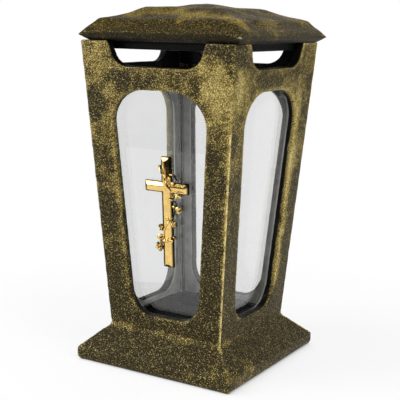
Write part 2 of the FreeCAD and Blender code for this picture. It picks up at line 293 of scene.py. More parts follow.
class EdgeWear(SharedGroup):
    """Broken line of wear where a surface has an edge."""

    name = "edge wear"
    inputs = {"Edge": 0.0, "Scale": 300.0, "Amount": 0.5}
    outputs = ("Mask",)
    noise_middle = 0.5
    blur = 0.35

    def build(self, sheet: Tree, given: Any) -> dict[str, bpy.types.NodeSocket]:
        """The edge value, broken up by a noise.

        Args:
            sheet: the group's tree.
            given: the group's input sockets, by name.

        Returns:
            The source of each output, by name.
        """
        broken = sheet.noise(given["Place"], given["Scale"], detail=3.0, rough=0.6)
        lifted = sheet.sum("ADD", given["Edge"], sheet.sum("SUBTRACT", broken, self.noise_middle))
        low = sheet.sum("SUBTRACT", 1.0, given["Amount"])
        high = sheet.sum("ADD", low, self.blur)
        return {"Mask": sheet.step(lifted, low, high)}


class FineGrain(SharedGroup):
    """Fine even grain, for roughness and for small bumps."""

    name = "fine grain"
    inputs = {"Scale": 1500.0, "Low": 0.3, "High": 0.5}
    outputs = ("Value", "Height")
    least = 0.3
    most = 0.7

    def build(self, sheet: Tree, given: Any) -> dict[str, bpy.types.NodeSocket]:
        """One fine noise, plain and between the low and the high value.

        Args:
            sheet: the group's tree.
            given: the group's input sockets, by name.

        Returns:
            The source of each output, by name.
        """
        grain = sheet.noise(given["Place"], given["Scale"], detail=3.0, rough=0.6)
        value = sheet.step(grain, self.least, self.most, given["Low"], given["High"])
        return {"Value": value, "Height": grain}


class WallDepth(SharedGroup):
    """Depth of a point behind the leaning outer faces of the casting."""

    name = "wall depth"
    inputs = {"Ground Half": 0.05, "Flare": 0.08}
    outputs = ("Depth",)

    def build(self, sheet: Tree, given: Any) -> dict[str, bpy.types.NodeSocket]:
        """Half width of the outer faces at the point's height, less the point's own.

        Args:
            sheet: the group's tree.
            given: the group's input sockets, by name.

        Returns:
            The source of each output, by name.
        """
        axes = sheet.add("SeparateXYZ", {0: given["Place"]}).outputs
        wide, deep = (sheet.sum("ABSOLUTE", axes[name]) for name in "XY")
        flared = sheet.sum("MULTIPLY", axes["Z"], given["Flare"])
        face = sheet.sum("ADD", flared, given["Ground Half"])
        return {"Depth": sheet.sum("SUBTRACT", face, sheet.sum("MAXIMUM", wide, deep))}


SPONGED_PAINT = SpongedPaint()
WALL_DEPTH = WallDepth()
CLOUDS = Clouds()
EDGE_WEAR = EdgeWear()
FINE_GRAIN = FineGrain()


# Finishes


@dataclass(frozen=True)
class Finish:
    """A finish that makes one material, shared by every piece that wears it."""

    name: str

    def material(self) -> bpy.types.Material:
        """The finish's material, made at the first call.

        Returns:
            The material.
        """
        made = bpy.data.materials.get(self.name)
        if made is None:
            made = bpy.data.materials.new(self.name)
            made.use_nodes = True
            sheet = Tree(made.node_tree)
            result = self.build(sheet)
            sheet.add("OutputMaterial", {"Surface": result.outputs[0]})
        return made

    def build(self, sheet: Tree) -> bpy.types.Node:
        """Nodes of the material; returns the shader node."""
        raise NotImplementedError


def wall_depth(sheet: Tree, place: Any) -> bpy.types.NodeSocket:
    """Depth of a point behind the lantern's outer faces."""
    inputs = {"Place": place, "Ground Half": WALL.offset, "Flare": math.tan(WALL.lean)}
    return sheet.group(WALL_DEPTH, inputs).outputs["Depth"]


@dataclass(frozen=True)
class Cloud:
    """Slow change between a low and a high value over a surface."""

    scale: float
    low: float = 0.0
    high: float = 1.0

    def value(self, sheet: Tree, place: Any) -> bpy.types.NodeSocket:
        """The changing value at a place."""
        inputs = {"Place": place, "Scale": self.scale, "Low": self.low, "High": self.high}
        return sheet.group(CLOUDS, inputs).outputs["Value"]


@dataclass(frozen=True)
class Grain:
    """Fine grain of a surface: the span of its roughness, and its small bumps."""

    scale: float
    low: float
    high: float
    strength: float = 0.0
    depth: float = 0.0

    def roughness(self, sheet: Tree, place: Any) -> bpy.types.NodeSocket:
        """The grain's roughness at a place."""
        inputs = {"Place": place, "Scale": self.scale, "Low": self.low, "High": self.high}
        return sheet.group(FINE_GRAIN, inputs).outputs["Value"]

    def normal(self, sheet: Tree, roughness: bpy.types.NodeSocket) -> bpy.types.NodeSocket:
        """The normal over the grain that made a roughness.

        Args:
            sheet: the tree that holds the grain.
            roughness: the grain's roughness, from the call above.

        Returns:
            The normal's source.
        """
        height = roughness.node.outputs["Height"]
        bump = {"Height": height, "Strength": self.strength, "Distance": self.depth}
        return sheet.add("Bump", bump).outputs["Normal"]


@dataclass(frozen=True)
class LaidGold:
    """Where the gold lies on the enamel, as sources for a material."""

    mask: bpy.types.NodeSocket
    allowed: bpy.types.NodeSocket
    veil: bpy.types.NodeSocket
    tone: bpy.types.NodeSocket
    height: bpy.types.NodeSocket


@dataclass(frozen=True)
class SpongedCasting(Finish):
    """Black enamel on a rough casting, sponged with gold that wears bright on the edges, with painted
    highlights on some edges and round the windows' mouths.
    """

    gold: Colour = srgb(236, 218, 150)
    old_gold: Colour = srgb(122, 103, 44)
    rubbed_and_highlight: Colour = srgb(232, 210, 140)
    veil: Colour = srgb(92, 76, 14)
    enamel: Colour = srgb(19, 17, 12)
    inner: Colour = srgb(11, 11, 10)
    cover: float = 0.15
    grain_scale: float = 2300.0
    softness: float = 0.09
    edge_gain: float = 0.22
    rim_highlight_gain: float = 0.12
    shade_gain: float = -0.5
    least_cover: float = 0.07
    veil_ramp: Ramp = Ramp(-0.04, 0.42)
    wide_clouds: Cloud = Cloud(36.0, -0.08, 0.08)
    small_clouds: Cloud = Cloud(120.0, -0.05, 0.05)
    rim_highlight: float = 0.5
    line_wear: float = 0.3
    line_scale: float = 1300.0
    gloss: Grain = Grain(900.0, 0.36, 0.56)
    metal: float = 0.5
    grain_stand: float = 0.35
    grain_height: float = 0.25 * MM
    bump: float = 0.6
    specular: float = 0.1
    blur: float = 0.9 * MM

    def build(self, sheet: Tree) -> bpy.types.Node:
        """Enamel, gold, and rubbed gold that also serves as painted highlight, laid by the values that
        the mesh carries.

        Args:
            sheet: the material's tree.

        Returns:
            The shader node.
        """
        place = sheet.place()
        edge, rim = sheet.attribute("edge"), sheet.attribute("rim")
        laid = self.laid(sheet, place, edge, rim)
        gold = sheet.mix(laid.tone, self.gold, self.old_gold)
        # Painted highlight: near the windows' mouths the gold turns towards the rubbed colour.
        gold = sheet.mix(sheet.sum("MULTIPLY", rim, self.rim_highlight), gold, self.rubbed_and_highlight)
        veiled = sheet.mix(laid.veil, self.enamel, self.veil)
        bare = sheet.mix(sheet.attribute("outer"), self.inner, veiled)
        colour = sheet.mix(laid.mask, bare, gold)
        # Worn edges in rubbed gold, strongest where the mesh carries a painted highlight on an edge.
        edge_wear_and_highlight = sheet.group(EDGE_WEAR, {
            "Place": place, "Edge": edge, "Scale": self.line_scale, "Amount": self.line_wear})
        wear_and_highlight_mask = sheet.sum("MULTIPLY", edge_wear_and_highlight.outputs["Mask"], laid.allowed)
        colour = sheet.mix(wear_and_highlight_mask, colour, self.rubbed_and_highlight)
        stand = sheet.sum("MULTIPLY", laid.mask, self.grain_stand)
        height = sheet.sum("ADD", laid.height, stand)
        bump = sheet.add("Bump", {
            "Height": height, "Strength": self.bump, "Distance": self.grain_height})
        return sheet.add("BsdfPrincipled", {
            "Base Color": colour,
            "Metallic": sheet.sum("MULTIPLY", laid.mask, self.metal),
            "Roughness": self.gloss.roughness(sheet, place),
            "Specular IOR Level": self.specular,
            "Normal": bump.outputs["Normal"],
        })

    def laid(self, sheet: Tree, place: Any, edge: Any, rim: Any) -> LaidGold:
        """Where the gold lies.

        Args:
            sheet: the material's tree.
            place: place of a point.
            edge: how near the point is to an edge.
            rim: how near it is to the mouth of a window.

        Returns:
            The mask of gold, where gold may lie at all, the thin veil of gold under the grains,
            and the tone and height of the grains.
        """
        cover = sheet.sum("ADD", self.wide_clouds.value(sheet, place), self.cover)
        cover = sheet.sum("ADD", cover, self.small_clouds.value(sheet, place))
        shade = sheet.attribute("shade")
        # The rim's gain lays more gold near the windows' mouths, part of the painted highlight there.
        for source, gain in ((edge, self.edge_gain), (rim, self.rim_highlight_gain), (shade, self.shade_gain)):
            cover = sheet.sum("ADD", cover, sheet.sum("MULTIPLY", source, gain))
        cover = sheet.sum("MAXIMUM", cover, self.least_cover)
        sponge = sheet.group(SPONGED_PAINT, {
            "Place": place, "Grain Scale": self.grain_scale, "Cover": cover, "Softness": self.softness})
        reach = sheet.attribute("reach")
        near, far = (sheet.sum(way, reach, self.blur) for way in ("SUBTRACT", "ADD"))
        allowed = sheet.step(wall_depth(sheet, place), near, far, 1.0, 0.0)
        allowed = sheet.sum("MULTIPLY", allowed, sheet.attribute("paint"))
        return LaidGold(
            mask=sheet.sum("MULTIPLY", sponge.outputs["Mask"], allowed),
            allowed=allowed,
            veil=sheet.sum("MULTIPLY", sheet.ramp(cover, self.veil_ramp), allowed),
            tone=sponge.outputs["Tone"],
            height=sponge.outputs["Height"],
        )


@dataclass(frozen=True)
class WindowGlass(Finish):
    """Clear float glass, a little tinted, with faint smears on its face."""

    tint: Colour = (0.875, 0.88, 0.876)
    darker_share: float = 0.985
    smears: Cloud = Cloud(30.0, 0.0, 0.012)
    cast: Cloud = Cloud(12.0)

    def build(self, sheet: Tree) -> bpy.types.Node:
        """Glass whose roughness and colour change a little over the pane.

        Args:
            sheet: the material's tree.

        Returns:
            The shader node.
        """
        place = sheet.place()
        darker = tuple(channel * self.darker_share for channel in self.tint)
        return sheet.add("BsdfPrincipled", {
            "Base Color": sheet.mix(self.cast.value(sheet, place), self.tint, darker),
            "Roughness": self.smears.value(sheet, place),
            "Transmission Weight": 1.0,
            "IOR": 1.5,
        })


@dataclass(frozen=True)
class GiltPlate(Finish):
    """Polished gilding in two tones, with a fine grain, and painted shade where it nears the pane."""

    bright: Colour = srgb(244, 208, 130)
    deep: Colour = srgb(186, 146, 70)
    painted_shade: Colour = srgb(34, 27, 14)
    painted_shade_depth: float = 4.9 * MM
    painted_shade_blur: float = 0.5 * MM
    tones: Cloud = Cloud(160.0, 0.0, 0.25)
    grain: Grain = Grain(700.0, 0.08, 0.16, 0.06, 0.03 * MM)

    def build(self, sheet: Tree) -> bpy.types.Node:
        """Metal with fine grain in its gloss, with painted shade near the pane.

        Args:
            sheet: the material's tree.

        Returns:
            The shader node.
        """
        place = sheet.place()
        colour = sheet.mix(self.tones.value(sheet, place), self.bright, self.deep)
        # Painted shade: sides deeper than this, near the pane, turn dark, standing in for the dark
        # inside of the lantern reflected there.
        shallow, deep = self.painted_shade_depth - self.painted_shade_blur, self.painted_shade_depth + self.painted_shade_blur
        painted_shade_share = sheet.step(wall_depth(sheet, place), shallow, deep)
        roughness = self.grain.roughness(sheet, place)
        return sheet.add("BsdfPrincipled", {
            "Base Color": sheet.mix(painted_shade_share, colour, self.painted_shade),
            "Metallic": 1.0,
            "Roughness": roughness,
            "Normal": self.grain.normal(sheet, roughness),
        })


@dataclass(frozen=True)
class Sealant(Finish):
    """Grey sealing bed with a slightly uneven skin."""

    colour: Colour = srgb(216, 215, 210)
    stain: Colour = srgb(188, 187, 180)
    stains: Cloud = Cloud(120.0)
    grain: Grain = Grain(600.0, 0.45, 0.7, 0.3, 0.1 * MM)

    def build(self, sheet: Tree) -> bpy.types.Node:
        """Soft rubbery skin, stained in clouds.

        Args:
            sheet: the material's tree.

        Returns:
            The shader node.
        """
        place = sheet.place()
        roughness = self.grain.roughness(sheet, place)
        return sheet.add("BsdfPrincipled", {
            "Base Color": sheet.mix(self.stains.value(sheet, place), self.colour, self.stain),
            "Roughness": roughness,
            "Normal": self.grain.normal(sheet, roughness),
        })


@dataclass(frozen=True)
class BlackZinc(Finish):
    """Black passivated zinc on steel, with a grey bloom."""

    bright: Colour = srgb(46, 46, 48)
    bloom: Colour = srgb(28, 28, 30)
    patches: Cloud = Cloud(300.0)
    grain: Grain = Grain(900.0, 0.24, 0.46, 0.15, 0.05 * MM)

    def build(self, sheet: Tree) -> bpy.types.Node:
        """Metal whose tone and gloss change in patches.

        Args:
            sheet: the material's tree.

        Returns:
            The shader node.
        """
        place = sheet.place()
        roughness = self.grain.roughness(sheet, place)
        return sheet.add("BsdfPrincipled", {
            "Base Color": sheet.mix(self.patches.value(sheet, place), self.bright, self.bloom),
            "Metallic": 1.0,
            "Roughness": roughness,
            "Normal": self.grain.normal(sheet, roughness),
        })


@dataclass(frozen=True)
class Foam(Finish):
    """Black closed-cell foam."""

    colour: Colour = srgb(34, 34, 35)
    cell: Colour = srgb(58, 58, 60)
    cell_scale: float = 2200.0
    cell_ramp: Ramp = Ramp(0.2, 0.55)
    cell_strength: float = 0.5
    cell_depth: float = 0.1 * MM
    gloss: Grain = Grain(900.0, 0.8, 0.95)

    def build(self, sheet: Tree) -> bpy.types.Node:
        """Small pale cells in a dark skin.

        Args:
            sheet: the material's tree.

        Returns:
            The shader node.
        """
        place = sheet.place()
        cells = sheet.add("TexVoronoi", {"Vector": place, "Scale": self.cell_scale}).outputs["Distance"]
        open_cell = sheet.ramp(cells, self.cell_ramp)
        bump = sheet.add("Bump", {
            "Height": open_cell, "Strength": self.cell_strength, "Distance": self.cell_depth})
        return sheet.add("BsdfPrincipled", {
            "Base Color": sheet.mix(open_cell, self.colour, self.cell),
            "Roughness": self.gloss.roughness(sheet, place),
            "Normal": bump.outputs["Normal"],
        })


@dataclass(frozen=True)
class WhiteFloor(Finish):
    """White studio floor that shows white but keeps soft shadows near the lantern."""

    colour: Colour = (0.86, 0.86, 0.86)
    shadowed: Colour = (0.8, 0.8, 0.8)
    roughness: float = 0.8
    tones: Cloud = Cloud(6.0, 0.97, 1.0)
    light_ramp: Ramp = Ramp(0.14, 0.4, 0.8, 1.0)
    contact_shade_reach: float = 0.03
    contact_shade_ramp: Ramp = Ramp(0.0, 0.9)

    def build(self, sheet: Tree) -> bpy.types.Node:
        """Plain white light mixed with a surface that takes shadow, with a painted contact shadow from
        ambient occlusion near the lantern.

        Args:
            sheet: the material's tree.

        Returns:
            The shader node.
        """
        place = sheet.place()
        colour = sheet.mix(self.tones.value(sheet, place), self.shadowed, self.colour)
        surface = sheet.add("BsdfPrincipled", {"Base Color": colour, "Roughness": self.roughness})
        glow = sheet.add("Emission", {"Color": (1.0, 1.0, 1.0), "Strength": 1.0})
        path = sheet.add("LightPath").outputs
        seen = sheet.sum("MAXIMUM", path["Is Camera Ray"], path["Is Glossy Ray"])
        seen = sheet.sum("MAXIMUM", seen, path["Is Transmission Ray"])
        away = sheet.add("VectorMath", {0: place}, operation="LENGTH").outputs["Value"]
        own_light = sheet.ramp(away, self.light_ramp)
        # Painted contact shadow: where ambient occlusion finds the lantern close, the plain white gives
        # way to the lit surface.
        contact_shade = sheet.add("AmbientOcclusion", {"Distance": self.contact_shade_reach}).outputs["AO"]
        clear = sheet.ramp(contact_shade, self.contact_shade_ramp)
        share = sheet.sum("MULTIPLY", sheet.sum("MULTIPLY", seen, own_light), clear)
        return sheet.add("MixShader", {0: share, 1: surface.outputs[0], 2: glow.outputs[0]})


# Meshes


class Sketch:
    """Points and faces of a mesh that is being built."""

    def __init__(self) -> None:
        """Start empty."""
        self.points: list[Vector] = []
        self.faces: list[tuple[int, ...]] = []

    def skin(self, rings: Sequence[Ring]) -> None:
        """Add a closed skin through rings of points, capped at its first and last ring.

        Args:
            rings: rings of equally many points, in order along the shape.
        """
        start = len(self.points)
        count = len(rings[0])
        for ring in rings:
            self.points.extend(ring)
        for index in range(len(rings) - 1):
            low = start + index * count
            for step in range(count):
                after = (step + 1) % count
                self.faces.append((low + step, low + after, low + count + after, low + count + step))
        last = start + (len(rings) - 1) * count
        self.faces.append(tuple(range(start + count - 1, start - 1, -1)))
        self.faces.append(tuple(range(last, last + count)))

    def mesh(self, name: str, placed: Matrix) -> bpy.types.Mesh:
        """Finished mesh.

        Args:
            name: its name.
            placed: where the sketch's axes lie in the lantern's frame.

        Returns:
            The mesh, with smooth faces that look outwards.
        """
        mesh = bpy.data.meshes.new(name)
        mesh.from_pydata([placed @ point for point in self.points], [], self.faces)
        work = bmesh.new()
        work.from_mesh(mesh)
        bmesh.ops.recalc_face_normals(work, faces=work.faces)
        work.to_mesh(mesh)
        work.free()
        mesh.shade_smooth()
        return mesh


def new_object(name: str, mesh: bpy.types.Mesh) -> bpy.types.Object:
    """Put a mesh into the scene as an object.

    Args:
        name: the object's name.
        mesh: its mesh.

    Returns:
        The object.
    """
    made = bpy.data.objects.new(name, mesh)
    bpy.context.scene.collection.objects.link(made)
    return made


def applied(made: bpy.types.Object) -> bpy.types.Object:
    """Apply an object's modifiers to its mesh.

    Args:
        made: the object.

    Returns:
        The same object.
    """
    bpy.context.view_layer.update()
    graph = bpy.context.evaluated_depsgraph_get()
    mesh = bpy.data.meshes.new_from_object(made.evaluated_get(graph))
    made.modifiers.clear()
    made.data = mesh
    return made


def wear(piece: bpy.types.Object, finish: Finish) -> None:
    """Put a finish on a piece, in place of any other."""
    piece.data.materials.clear()
    piece.data.materials.append(finish.material())


def combine(piece: bpy.types.Object, tool: bpy.types.Object, operation: str) -> None:
    """Join a tool to a piece, or cut it away, and remove the tool.

    Args:
        piece: the piece that changes.
        tool: the other shape.
        operation: UNION or DIFFERENCE.
    """
    step = piece.modifiers.new("combine", "BOOLEAN")
    step.object = tool
    step.operation = operation
    step.solver = "EXACT"
    applied(piece)
    bpy.data.objects.remove(tool)


def soften(piece: bpy.types.Object, width: float, segments: int = 2, least_angle: float = 40) -> None:
    """Round a piece's sharp edges a little.

    Args:
        piece: the piece.
        width: width of the rounding.
        segments: its number of steps.
        least_angle: least turn of an edge that is rounded, in degrees.
    """
    bevel = piece.modifiers.new("soft edges", "BEVEL")
    bevel.width = width
    bevel.segments = segments
    bevel.limit_method = "ANGLE"
    bevel.angle_limit = math.radians(least_angle)


def report(piece: bpy.types.Object) -> None:
    """Tell the size of a finished piece."""
    log.info("%s: %d points, %d faces", piece.name, len(piece.data.vertices), len(piece.data.polygons))


def swell(points: np.ndarray, length: float, seed: Draw) -> np.ndarray:
    """Slow random waves at points.

    Args:
        points: places, one to a row.
        length: typical length of a wave.
        seed: draw of the waves.

    Returns:
        A value from about -1 to 1 at each point.
    """
    draw = np.random.default_rng(seed.value)
    count = 14
    shortest, longest = 0.7, 1.6
    usual_peak = 1.4
    directions = draw.normal(size=(count, 3))
    directions /= np.linalg.norm(directions, axis=1)[:, None]
    rates = 2 * math.pi / (length * draw.uniform(shortest, longest, count))
    phases = draw.uniform(0, 2 * math.pi, count)
    waves = np.cos(points @ (directions * rates[:, None]).T + phases)
    return waves.sum(axis=1) / math.sqrt(count) / usual_peak


def smooth_step(values: np.ndarray, low: float, high: float) -> np.ndarray:
    """Smooth step of values from 0 at low to 1 at high."""
    share = np.clip((values - low) / (high - low), 0, 1)
    return share * share * (3 - 2 * share)


@dataclass(frozen=True)
class Fade:
    """Smooth change of a share from one value to another."""

    start: float
    end: float

    def rising(self, values: np.ndarray) -> np.ndarray:
        """Share that is 0 at the start and 1 at the end."""
        return smooth_step(values, self.start, self.end)

    def falling(self, values: np.ndarray) -> np.ndarray:
        """Share that is 1 at the start and 0 at the end."""
        return smooth_step(-values, -self.end, -self.start)


@dataclass
class CastSkin:
    """Even mesh over a casting, with the soft edges that a sand mould leaves."""

    node: str
    voxel: float
    passes: int = 2
    weld: float = 0.001 * MM
    relax_share: float = 0.6
    sharp_bend: float = 0.16
    spread_share: float = 0.75
    edge_strength: float = 1.3
    path_slack: float = 1.4
    made: bpy.types.Object = field(init=False)
    points: np.ndarray = field(init=False)
    edges: np.ndarray = field(init=False)
    normals: np.ndarray = field(init=False)

    def __post_init__(self) -> None:
        """Remesh the casting and relax it."""
        work = bmesh.new()
        work.from_mesh(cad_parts[self.node].data)
        bmesh.ops.remove_doubles(work, verts=work.verts, dist=self.weld)
        mesh = bpy.data.meshes.new(self.node + "_skin")
        work.to_mesh(mesh)
        work.free()
        self.made = new_object(self.node + "_skin", mesh)
        remesh = self.made.modifiers.new("even skin", "REMESH")
        remesh.mode = "VOXEL"
        remesh.voxel_size = self.voxel
        applied(self.made)
        self.read()
        for _ in range(self.passes):
            self.points += self.relax_share * (self.neighbour_mean(self.points) - self.points)
        self.write()

    def read(self) -> None:
        """Take the mesh's points, edges and normals into arrays."""
        mesh = self.made.data
        count = len(mesh.vertices)
        self.points = np.empty(count * 3)
        mesh.vertices.foreach_get("co", self.points)
        self.points = self.points.reshape(count, 3)
        self.edges = np.empty(len(mesh.edges) * 2, dtype=np.int64)
        mesh.edges.foreach_get("vertices", self.edges)
        self.edges = self.edges.reshape(-1, 2)
        self.normals = np.empty(count * 3)
        mesh.vertices.foreach_get("normal", self.normals)
        self.normals = self.normals.reshape(count, 3)

    def write(self) -> None:
        """Give the points back to the mesh."""
        self.made.data.vertices.foreach_set("co", self.points.ravel())
        self.made.data.update()
        self.read()

    def neighbour_mean(self, values: np.ndarray) -> np.ndarray:
        """Mean of the neighbours' values at each point.

        Args:
            values: a value, or a row of them, at each point.

        Returns:
            The means, in the same shape.
        """
        first, second = self.edges.T
        count = len(self.points)
        columns = values.reshape(count, -1)
        total = np.zeros_like(columns)
        for place in range(columns.shape[1]):
            column = columns[:, place]
            total[:, place] = np.bincount(first, column[second], count)
            total[:, place] += np.bincount(second, column[first], count)
        number = np.bincount(first, minlength=count) + np.bincount(second, minlength=count)
        return (total / np.maximum(number, 1)[:, None]).reshape(values.shape)

    def edge_share(self, spread: int) -> np.ndarray:
        """How strongly the skin bends outwards, from 0 on a flat to 1 on an edge.

        Args:
            spread: number of steps by which the edges widen.

        Returns:
            The share at each point.
        """
        inwards = self.neighbour_mean(self.points) - self.points
        bend = -(inwards * self.normals).sum(axis=1) / self.voxel
        share = np.clip(bend / self.sharp_bend, 0, 1)
        for _ in range(spread):
            share = np.maximum(share * self.spread_share, self.neighbour_mean(share))
        return np.clip(share * self.edge_strength, 0, 1)

    def distance_from(self, seeds: np.ndarray, reach: float) -> np.ndarray:
        """Distance along the skin from the nearest seed point, up to a reach.

        Args:
            seeds: whether each point is a seed.
            reach: the largest distance looked for.

        Returns:
            The distance at each point.
        """
        distance = np.where(seeds, 0.0, reach)
        first, second = self.edges.T
        length = np.linalg.norm(self.points[first] - self.points[second], axis=1)
        for _ in range(math.ceil(self.path_slack * reach / self.voxel)):
            np.minimum.at(distance, first, distance[second] + length)
            np.minimum.at(distance, second, distance[first] + length)
        return distance

    def carry(self, name: str, values: np.ndarray) -> None:
        """Let the mesh carry a value at each point."""
        layer = self.made.data.attributes.new(name, "FLOAT", "POINT")
        layer.data.foreach_set("value", values.astype(np.float32))


# The lantern's parts


@dataclass(frozen=True)
class Wall:
    """Leaning outer face of the casting, and the axes of a wall.

    In wall axes x runs across the wall, y goes in from its outer face and z climbs its slope.
    """

    waist_half: float = 53.8 * MM
    waist_height: float = 29.8 * MM
    rim_half: float = 71.6 * MM
    rim_height: float = 269.3 * MM
    thickness: float = 8 * MM

    @property
    def lean(self) -> float:
        """Angle by which a wall leans out."""
        return math.atan2(self.rim_half - self.waist_half, self.rim_height - self.waist_height)

    @property
    def offset(self) -> float:
        """Half width of the outer faces, drawn down to the ground."""
        return self.waist_half - self.waist_height * math.tan(self.lean)

    @property
    def rim_climb(self) -> float:
        """Climb of the rim along a wall's slope."""
        return self.rim_height / math.cos(self.lean)

    def matrix(self, side: Side) -> Matrix:
        """Place of a wall's axes in the lantern's frame."""
        turn = Matrix.Rotation(math.pi / 2 * side.value, 4, "Z")
        return turn @ Matrix.Translation((0, -self.offset, 0)) @ Matrix.Rotation(self.lean, 4, "X")

    def face_half(self, height: np.ndarray) -> np.ndarray:
        """Half width of the outer faces at heights."""
        return self.offset + height * math.tan(self.lean)

    def depth(self, points: np.ndarray) -> np.ndarray:
        """How deep points lie behind the outer faces."""
        return self.face_half(points[:, 2]) - np.abs(points[:, :2]).max(axis=1)


WALL = Wall()


@dataclass(frozen=True)
class TonePatch:
    """Place on a wall with less gold, or more, in wall axes; some patches are painted light and shade.
    """

    side: Side
    across: float
    climb: float
    reach_across: float
    reach_up: float
    strength: float
    near_face: Fade = Fade(12 * MM, 30 * MM)
    edge: Fade = Fade(0.2, 1.3)
    ragged: float = 0.3
    ragged_length: float = 12 * MM

    def share(self, points: np.ndarray) -> np.ndarray:
        """How much the patch shades each point, up to its strength.

        Args:
            points: places in the lantern's frame, one to a row.

        Returns:
            The shade at each point.
        """
        to_wall = np.array(WALL.matrix(self.side).inverted())
        local = points @ to_wall[:3, :3].T + to_wall[:3, 3]
        across = (local[:, 0] - self.across) / self.reach_across
        up = (local[:, 2] - self.climb) / self.reach_up
        near_face = self.near_face.falling(np.abs(local[:, 1]))
        waves = swell(points, self.ragged_length, Draw.PATCH_EDGE)
        distance = np.sqrt(across ** 2 + up ** 2) + self.ragged * waves
        return self.strength * near_face * self.edge.falling(distance)


@dataclass(frozen=True)
class ToneBand:
    """Level band round the body with less gold, or more, some of it painted light and shade."""

    middle: float
    reach: float
    strength: float

    def share(self, heights: np.ndarray) -> np.ndarray:
        """How much the band shades points at heights, most at its middle."""
        return self.strength * np.exp(-((heights - self.middle) / self.reach) ** 2)


@dataclass
class BodyCasting:
    """Cast body of the lantern: flared foot, four leaning walls, windows and vents."""

    voxel: float = 1.0 * MM
    wave_height: float = 0.13 * MM
    wave_length: float = 12 * MM
    foot_half: float = 74.7 * MM
    foot_edge_height: float = 10.4 * MM
    window_low: float = 40 * MM
    window_high: float = 234 * MM
    vent_floor: float = 249.5 * MM
    column: float = 16.5 * MM
    rim_reach: float = 5 * MM
    rim_roll: float = 0.5 * MM
    hip_reach: float = 3 * MM
    hip_depth: float = 1.6 * MM
    hip_width: float = 0.35 * MM
    hip_line_reach: float = 2.0 * MM
    front_line_reach: float = 4.5 * MM
    far_hip_share: float = 0.3
    sill_reach: float = 1.7 * MM
    jamb_reach: float = 3.6 * MM
    left_jamb_reach: float = 6.2 * MM
    rear_jamb_reach: float = 9.5 * MM
    vent_reach: float = 0.9 * MM
    vent_margin: float = 2 * MM
    vent_blend: tuple[float, float] = (3 * MM, 1 * MM)
    face_depth: float = 0.3 * MM
    inside_depth: float = 4 * MM
    inside_wave_share: float = 0.3
    rim_tone: float = 0.55
    rim_tone_length: float = 30 * MM
    near_hip_foot: Fade = Fade(8 * MM, 26 * MM)
    near_hip_head: Fade = Fade(195 * MM, 250 * MM)
    far_hip_foot: Fade = Fade(24 * MM, 45 * MM)
    rear_arris_highlight_share: float = 1.0
    left_arris_highlight_share: float = 0.7
    arris_share: float = 0.55
    outer_fade: Fade = Fade(2 * MM, 6 * MM)
    vent_outer_fade: Fade = Fade(0.5 * MM, 1.5 * MM)
    mouth_start: float = 0.35 * MM
    mouth_end: float = 1.5 * MM
    upward_fade: Fade = Fade(0.3, 0.8)
    sideways: float = 0.5
    tongue_reach: float = 3 * MM
    tongue_length: float = 26 * MM
    tongue_fade: Fade = Fade(0.5, 1.4)
    foot_depth_fade: Fade = Fade(3 * MM, 4.5 * MM)
    foot_height_fade: Fade = Fade(0.2 * MM, 1.2 * MM)
    low_shade: float = 0.35
    low_fade: Fade = Fade(70 * MM, 190 * MM)
    bands: tuple[ToneBand, ...] = (
        # Painted shade on the middle of the foot's upward slope.
        ToneBand(19 * MM, 6 * MM, 0.1),
        # Painted highlight along the cove above the foot.
        ToneBand(30.5 * MM, 3.5 * MM, -0.35),
        ToneBand(38 * MM, 5 * MM, 0.25),
        ToneBand(241 * MM, 8 * MM, 0.1),
    )
    finish: Finish = SpongedCasting("sponged casting")
    patches: tuple[TonePatch, ...] = (
        TonePatch(Side.FRONT, -61 * MM, 219 * MM, 9 * MM, 15 * MM, 0.7),
        TonePatch(Side.FRONT, -53 * MM, 136 * MM, 9 * MM, 14 * MM, 0.4),
        TonePatch(Side.FRONT, -47 * MM, 54 * MM, 10 * MM, 16 * MM, 0.45),
        TonePatch(Side.FRONT, -58 * MM, 250 * MM, 16 * MM, 20 * MM, -0.25),
        TonePatch(Side.FRONT, 54 * MM, 240 * MM, 14 * MM, 28 * MM, -0.66),
        TonePatch(Side.FRONT, 58 * MM, 12 * MM, 24 * MM, 14 * MM, -0.25),
        TonePatch(Side.FRONT, -35 * MM, 15 * MM, 24 * MM, 12 * MM, 0.15),
        TonePatch(Side.FRONT, 51 * MM, 180 * MM, 9 * MM, 14 * MM, 0.45),
        TonePatch(Side.FRONT, 48 * MM, 132 * MM, 10 * MM, 34 * MM, 0.6),
        TonePatch(Side.FRONT, 44 * MM, 62 * MM, 10 * MM, 15 * MM, 0.65),
        TonePatch(Side.RIGHT, -58 * MM, 236 * MM, 10 * MM, 16 * MM, -0.55),
        TonePatch(Side.RIGHT, 0 * MM, 36 * MM, 44 * MM, 12 * MM, 0.35),
        TonePatch(Side.RIGHT, 0 * MM, 243 * MM, 34 * MM, 9 * MM, 0.15),
        # Painted highlight on the right window's rear jamb and arris.
        TonePatch(Side.RIGHT, 38 * MM, 85 * MM, 6 * MM, 45 * MM, -0.5),
        TonePatch(Side.RIGHT, 42 * MM, 145 * MM, 6 * MM, 50 * MM, -0.5),
        TonePatch(Side.RIGHT, 46 * MM, 205 * MM, 6 * MM, 45 * MM, -0.5),
        TonePatch(Side.RIGHT, -60 * MM, 194 * MM, 6 * MM, 13 * MM, 0.4),
        TonePatch(Side.RIGHT, -62 * MM, 262 * MM, 14 * MM, 9 * MM, 0.8),
        TonePatch(Side.RIGHT, 49 * MM, 58 * MM, 10 * MM, 16 * MM, 0.6),
        TonePatch(Side.BACK, -52 * MM, 150 * MM, 10 * MM, 24 * MM, 0.5),
        TonePatch(Side.BACK, 55 * MM, 226 * MM, 12 * MM, 16 * MM, 0.5),
        TonePatch(Side.LEFT, 50 * MM, 120 * MM, 9 * MM, 22 * MM, 0.5),
        TonePatch(Side.LEFT, -58 * MM, 200 * MM, 11 * MM, 18 * MM, 0.5),
    )

